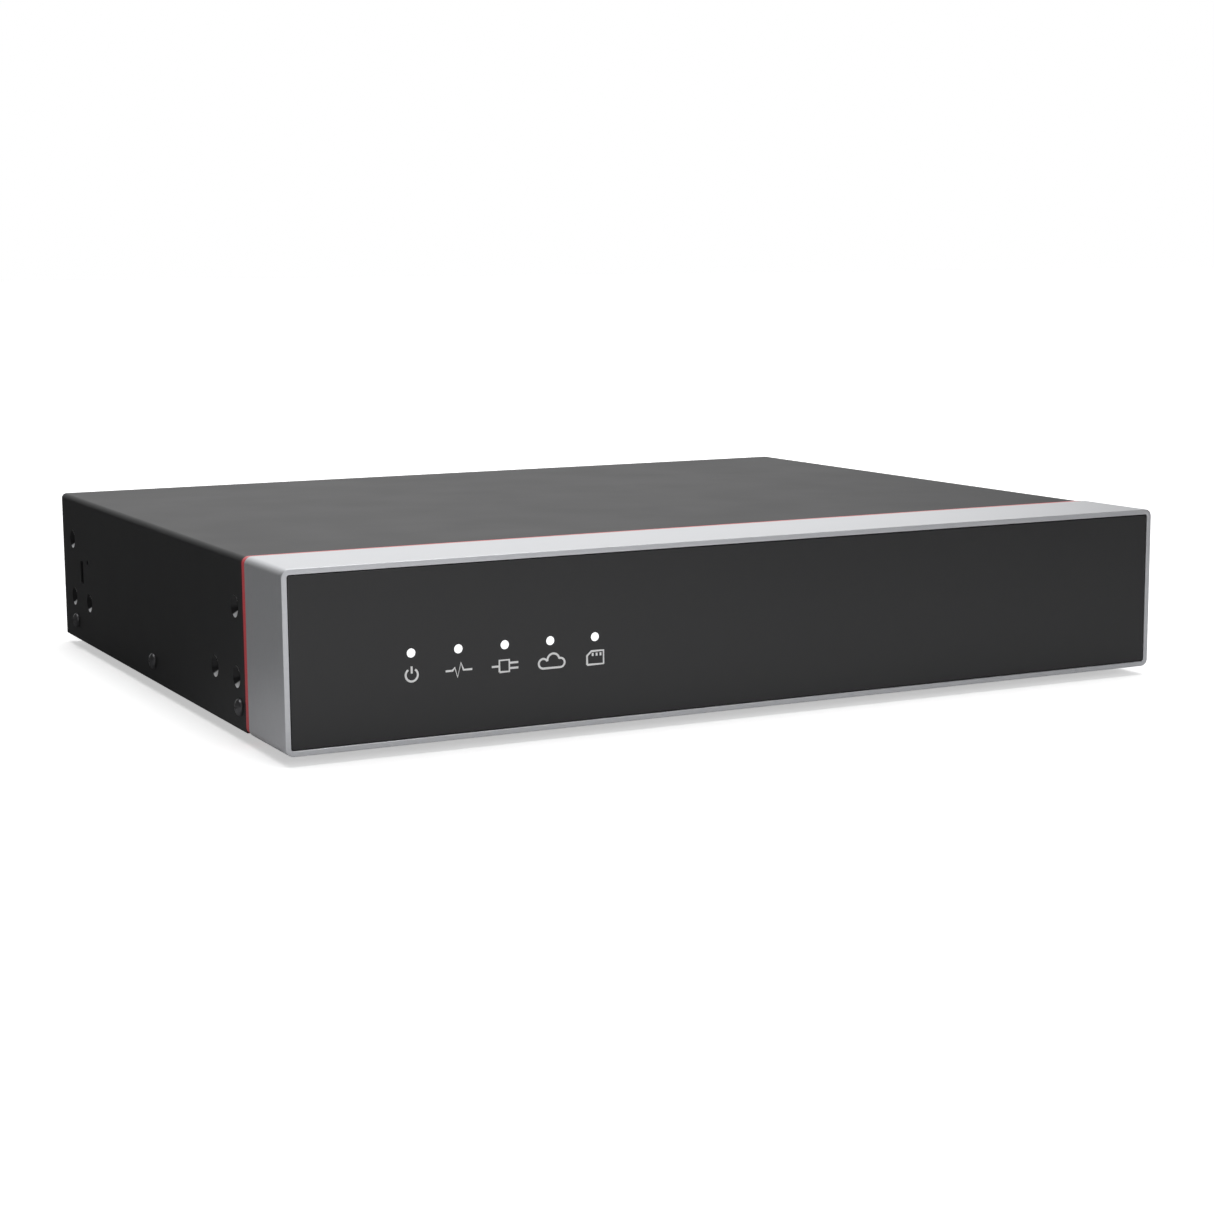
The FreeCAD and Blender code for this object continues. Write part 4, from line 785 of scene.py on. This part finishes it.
def makeNumber(number, x, z):
    deselectAll()
    bpy.ops.object.text_add(location=(0, 0, 0))
    text = bpy.context.object
    text.data.body = str(number)
    text.data.size = numberLook["tall"] * mm
    text.data.align_x = "CENTER"
    text.data.align_y = "CENTER"
    text.data.extrude = numberLook["thick"] * mm
    bpy.ops.object.convert(target="MESH")
    text = bpy.context.object
    placeAt(text, (x * mm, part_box("base_tray")[1].y, z * mm), (0, 1, 0))
    return text


def printNumbers(look):
    # channel numbers 1 to 8, read from behind, odd ones on top
    numbers = []
    for i, x in enumerate(reversed(jackLook["columns"])):
        numbers.append(makeNumber(2 * i + 1, x, look["above"]))
        numbers.append(makeNumber(2 * i + 2, x, look["below"]))
    printed = joinPieces(numbers, "channelNumbers")
    keep(printed, "recorder", "white_plastic", printWhite)


# the two marks of the rocker, in mm from its pin, with the way each half faces
rockerMarks = {"on": {"strokes": [[(0, -1.2), (0, 1.2)]], "at": (4.89, 2.85), "faces": (0.935, -0.356)},
               "off": {"strokes": [arc(0, 0, 1.2, 0, 360, 28)], "at": (3.62, -4.34), "faces": (1.0, 0.015)}}
rockerLine = 0.4


def printRockerMarks(marks):
    joints = {joint["name"]: joint for joint in record["behaviour"]["joints"]}
    pin = Vector(joints["rocker_tip"]["pos_m"])
    drawn = []
    for mark in marks.values():
        piece = joinPieces([drawStroke(points, rockerLine) for points in mark["strokes"]], "rockerMark")
        along, up = mark["at"]
        drawn.append(placeAt(piece, pin + Vector((0, along * mm, up * mm)), (0, *mark["faces"])))
    keep(joinPieces(drawn, "rockerMarks"), "rocker", "white_plastic", printWhite)


makeJacks(jackLook)
printNumbers(numberLook)
printRockerMarks(rockerMarks)
print("sockets at the back done")


# camera

# the eye is 0.62 m in front, to the left and a little above
cameraView = {"place": (-0.3007, -0.6198, 0.1181), "turn": 26.798, "tilt": -8.580, "roll": -0.419,
              "lens": 69.10, "sensor": 36.0}


def makeCamera(look):
    deselectAll()
    bpy.ops.object.camera_add(location=look["place"])
    camera = bpy.context.object
    camera.name = "viewCamera"
    turn, tilt = math.radians(look["turn"]), math.radians(look["tilt"])
    ahead = Vector((math.sin(turn) * math.cos(tilt), math.cos(turn) * math.cos(tilt), math.sin(tilt)))
    aim = ahead.to_track_quat("-Z", "Y").to_matrix()
    roll = Matrix.Rotation(math.radians(look["roll"]), 3, "Z")
    camera.rotation_euler = (aim @ roll).to_euler()
    camera.data.lens = look["lens"]
    camera.data.sensor_width = look["sensor"]
    camera.data.clip_start = 0.01
    bpy.context.scene.camera = camera


makeCamera(cameraView)


# floor and light

def makeFloor(look):
    # white paper; in reflections it shows a painted reflection, dark at the back and to the right and
    # lighter in front, and to the eye it has a painted glow, at half strength near the recorder and full
    # far off
    deselectAll()
    bpy.ops.mesh.primitive_plane_add(size=look["size"], location=(0, 0, 0))
    floor = bpy.context.object
    floor.name = "studioFloor"
    material, tree, shader = newMaterial("floorPaper", Roughness=0.9)
    grain = addGroup(tree, "grain", Scale=350.0, Patch=3.0)
    paper = blendColours(tree, grain.outputs["Patches"], look["paper"], look["paperOther"])
    place = addNode(tree, "ShaderNodeTexCoord")
    split = addNode(tree, "ShaderNodeSeparateXYZ")
    tree.links.new(place.outputs["Object"], split.inputs["Vector"])
    ahead = addNode(tree, "ShaderNodeMapRange", From_Min=look["darkFrom"], From_Max=look["lightFrom"])
    tree.links.new(split.outputs["Y"], ahead.inputs["Value"])
    aside = addNode(tree, "ShaderNodeMapRange", From_Min=0.0, From_Max=look["dimBy"], To_Min=1.0,
                    To_Max=look["dimRight"])
    tree.links.new(split.outputs["X"], aside.inputs["Value"])
    lit = mathNode(tree, "MULTIPLY", ahead.outputs["Result"], aside.outputs["Result"])
    mirrored = blendColours(tree, lit, look["mirroredBehind"], look["mirroredAhead"])
    away = addNode(tree, "ShaderNodeVectorMath", {"operation": "LENGTH"})
    tree.links.new(place.outputs["Object"], away.inputs[0])
    far = addNode(tree, "ShaderNodeMapRange", From_Min=look["liftFrom"], From_Max=look["liftTo"],
                  To_Min=look["lift"], To_Max=1.0)
    tree.links.new(away.outputs["Value"], far.inputs["Value"])
    # glossy rays see the painted reflection instead of the paper, and camera rays get the painted glow
    rays = addNode(tree, "ShaderNodeLightPath")
    seen = addNode(tree, "ShaderNodeMix", {"data_type": "RGBA"})
    tree.links.new(rays.outputs["Is Glossy Ray"], seen.inputs["Factor"])
    tree.links.new(paper, seen.inputs[6])
    tree.links.new(mirrored, seen.inputs[7])
    tree.links.new(seen.outputs[2], shader.inputs["Base Color"])
    shader.inputs["Emission Color"].default_value = (1.0, 1.0, 1.0, 1)
    tree.links.new(mathNode(tree, "MULTIPLY", rays.outputs["Is Camera Ray"], far.outputs["Result"]),
                   shader.inputs["Emission Strength"])
    floor.data.materials.append(material)


# the mirrored colours are painted reflections, and lift is the strength of the painted glow near the
# recorder
floorLook = {"size": 24, "paper": (0.93, 0.93, 0.93), "paperOther": (0.95, 0.95, 0.95),
             "mirroredBehind": (0.075, 0.075, 0.077), "mirroredAhead": (0.95, 0.95, 0.96),
             "dimRight": 0.3, "dimBy": 0.35, "darkFrom": 0.02, "lightFrom": -0.22,
             "lift": 0.5, "liftFrom": 0.3, "liftTo": 1.3}
studioLights = {
    "overhead": {"place": (0.1, 0.1, 1.6), "aim": (0, 0.0, 0), "size": (1.6, 1.6), "power": 26},
    "front": {"place": (0.2, -1.9, 0.9), "aim": (0, 0, 0.02), "size": (1.4, 0.9), "power": 9},
}
# the room is dim, with one soft glow behind the recorder, and white to the eye
roomLook = {"dim": 0.07, "glow": 1.08, "glowTo": (0.24, 0.96, 0.12), "glowEdge": 0.855, "glowFull": 0.93,
            "toCamera": 1.0}


def makeLight(name, look):
    deselectAll()
    bpy.ops.object.light_add(type="AREA", location=look["place"])
    light = bpy.context.object
    light.name = name + "Light"
    light.data.shape = "RECTANGLE"
    light.data.size, light.data.size_y = look["size"]
    light.data.energy = look["power"]
    aim = Vector(look["aim"]) - Vector(look["place"])
    light.rotation_euler = aim.to_track_quat("-Z", "Y").to_euler()
    light.visible_camera = False


def makeRoom(look):
    world = bpy.data.worlds.new("studioRoom")
    world.use_nodes = True
    bpy.context.scene.world = world
    tree = world.node_tree
    background = tree.nodes["Background"]
    background.inputs["Color"].default_value = (1.0, 1.0, 1.0, 1)
    way = addNode(tree, "ShaderNodeTexCoord")
    toward = addNode(tree, "ShaderNodeVectorMath", {"operation": "DOT_PRODUCT"})
    toward.inputs[1].default_value = look["glowTo"]
    tree.links.new(way.outputs["Generated"], toward.inputs[0])
    glow = addNode(tree, "ShaderNodeMapRange", {"interpolation_type": "SMOOTHSTEP"},
                   From_Min=look["glowEdge"], From_Max=look["glowFull"], To_Min=look["dim"],
                   To_Max=look["glow"])
    tree.links.new(toward.outputs["Value"], glow.inputs["Value"])
    rays = addNode(tree, "ShaderNodeLightPath")
    seen = addNode(tree, "ShaderNodeMix", {"data_type": "FLOAT"})
    seen.inputs[3].default_value = look["toCamera"]
    tree.links.new(rays.outputs["Is Camera Ray"], seen.inputs["Factor"])
    tree.links.new(glow.outputs["Result"], seen.inputs[2])
    tree.links.new(seen.outputs[0], background.inputs["Strength"])


makeFloor(floorLook)
for name, look in studioLights.items():
    makeLight(name, look)
makeRoom(roomLook)
bpy.context.scene.view_settings.view_transform = "Standard"
print("camera, floor and lights done")
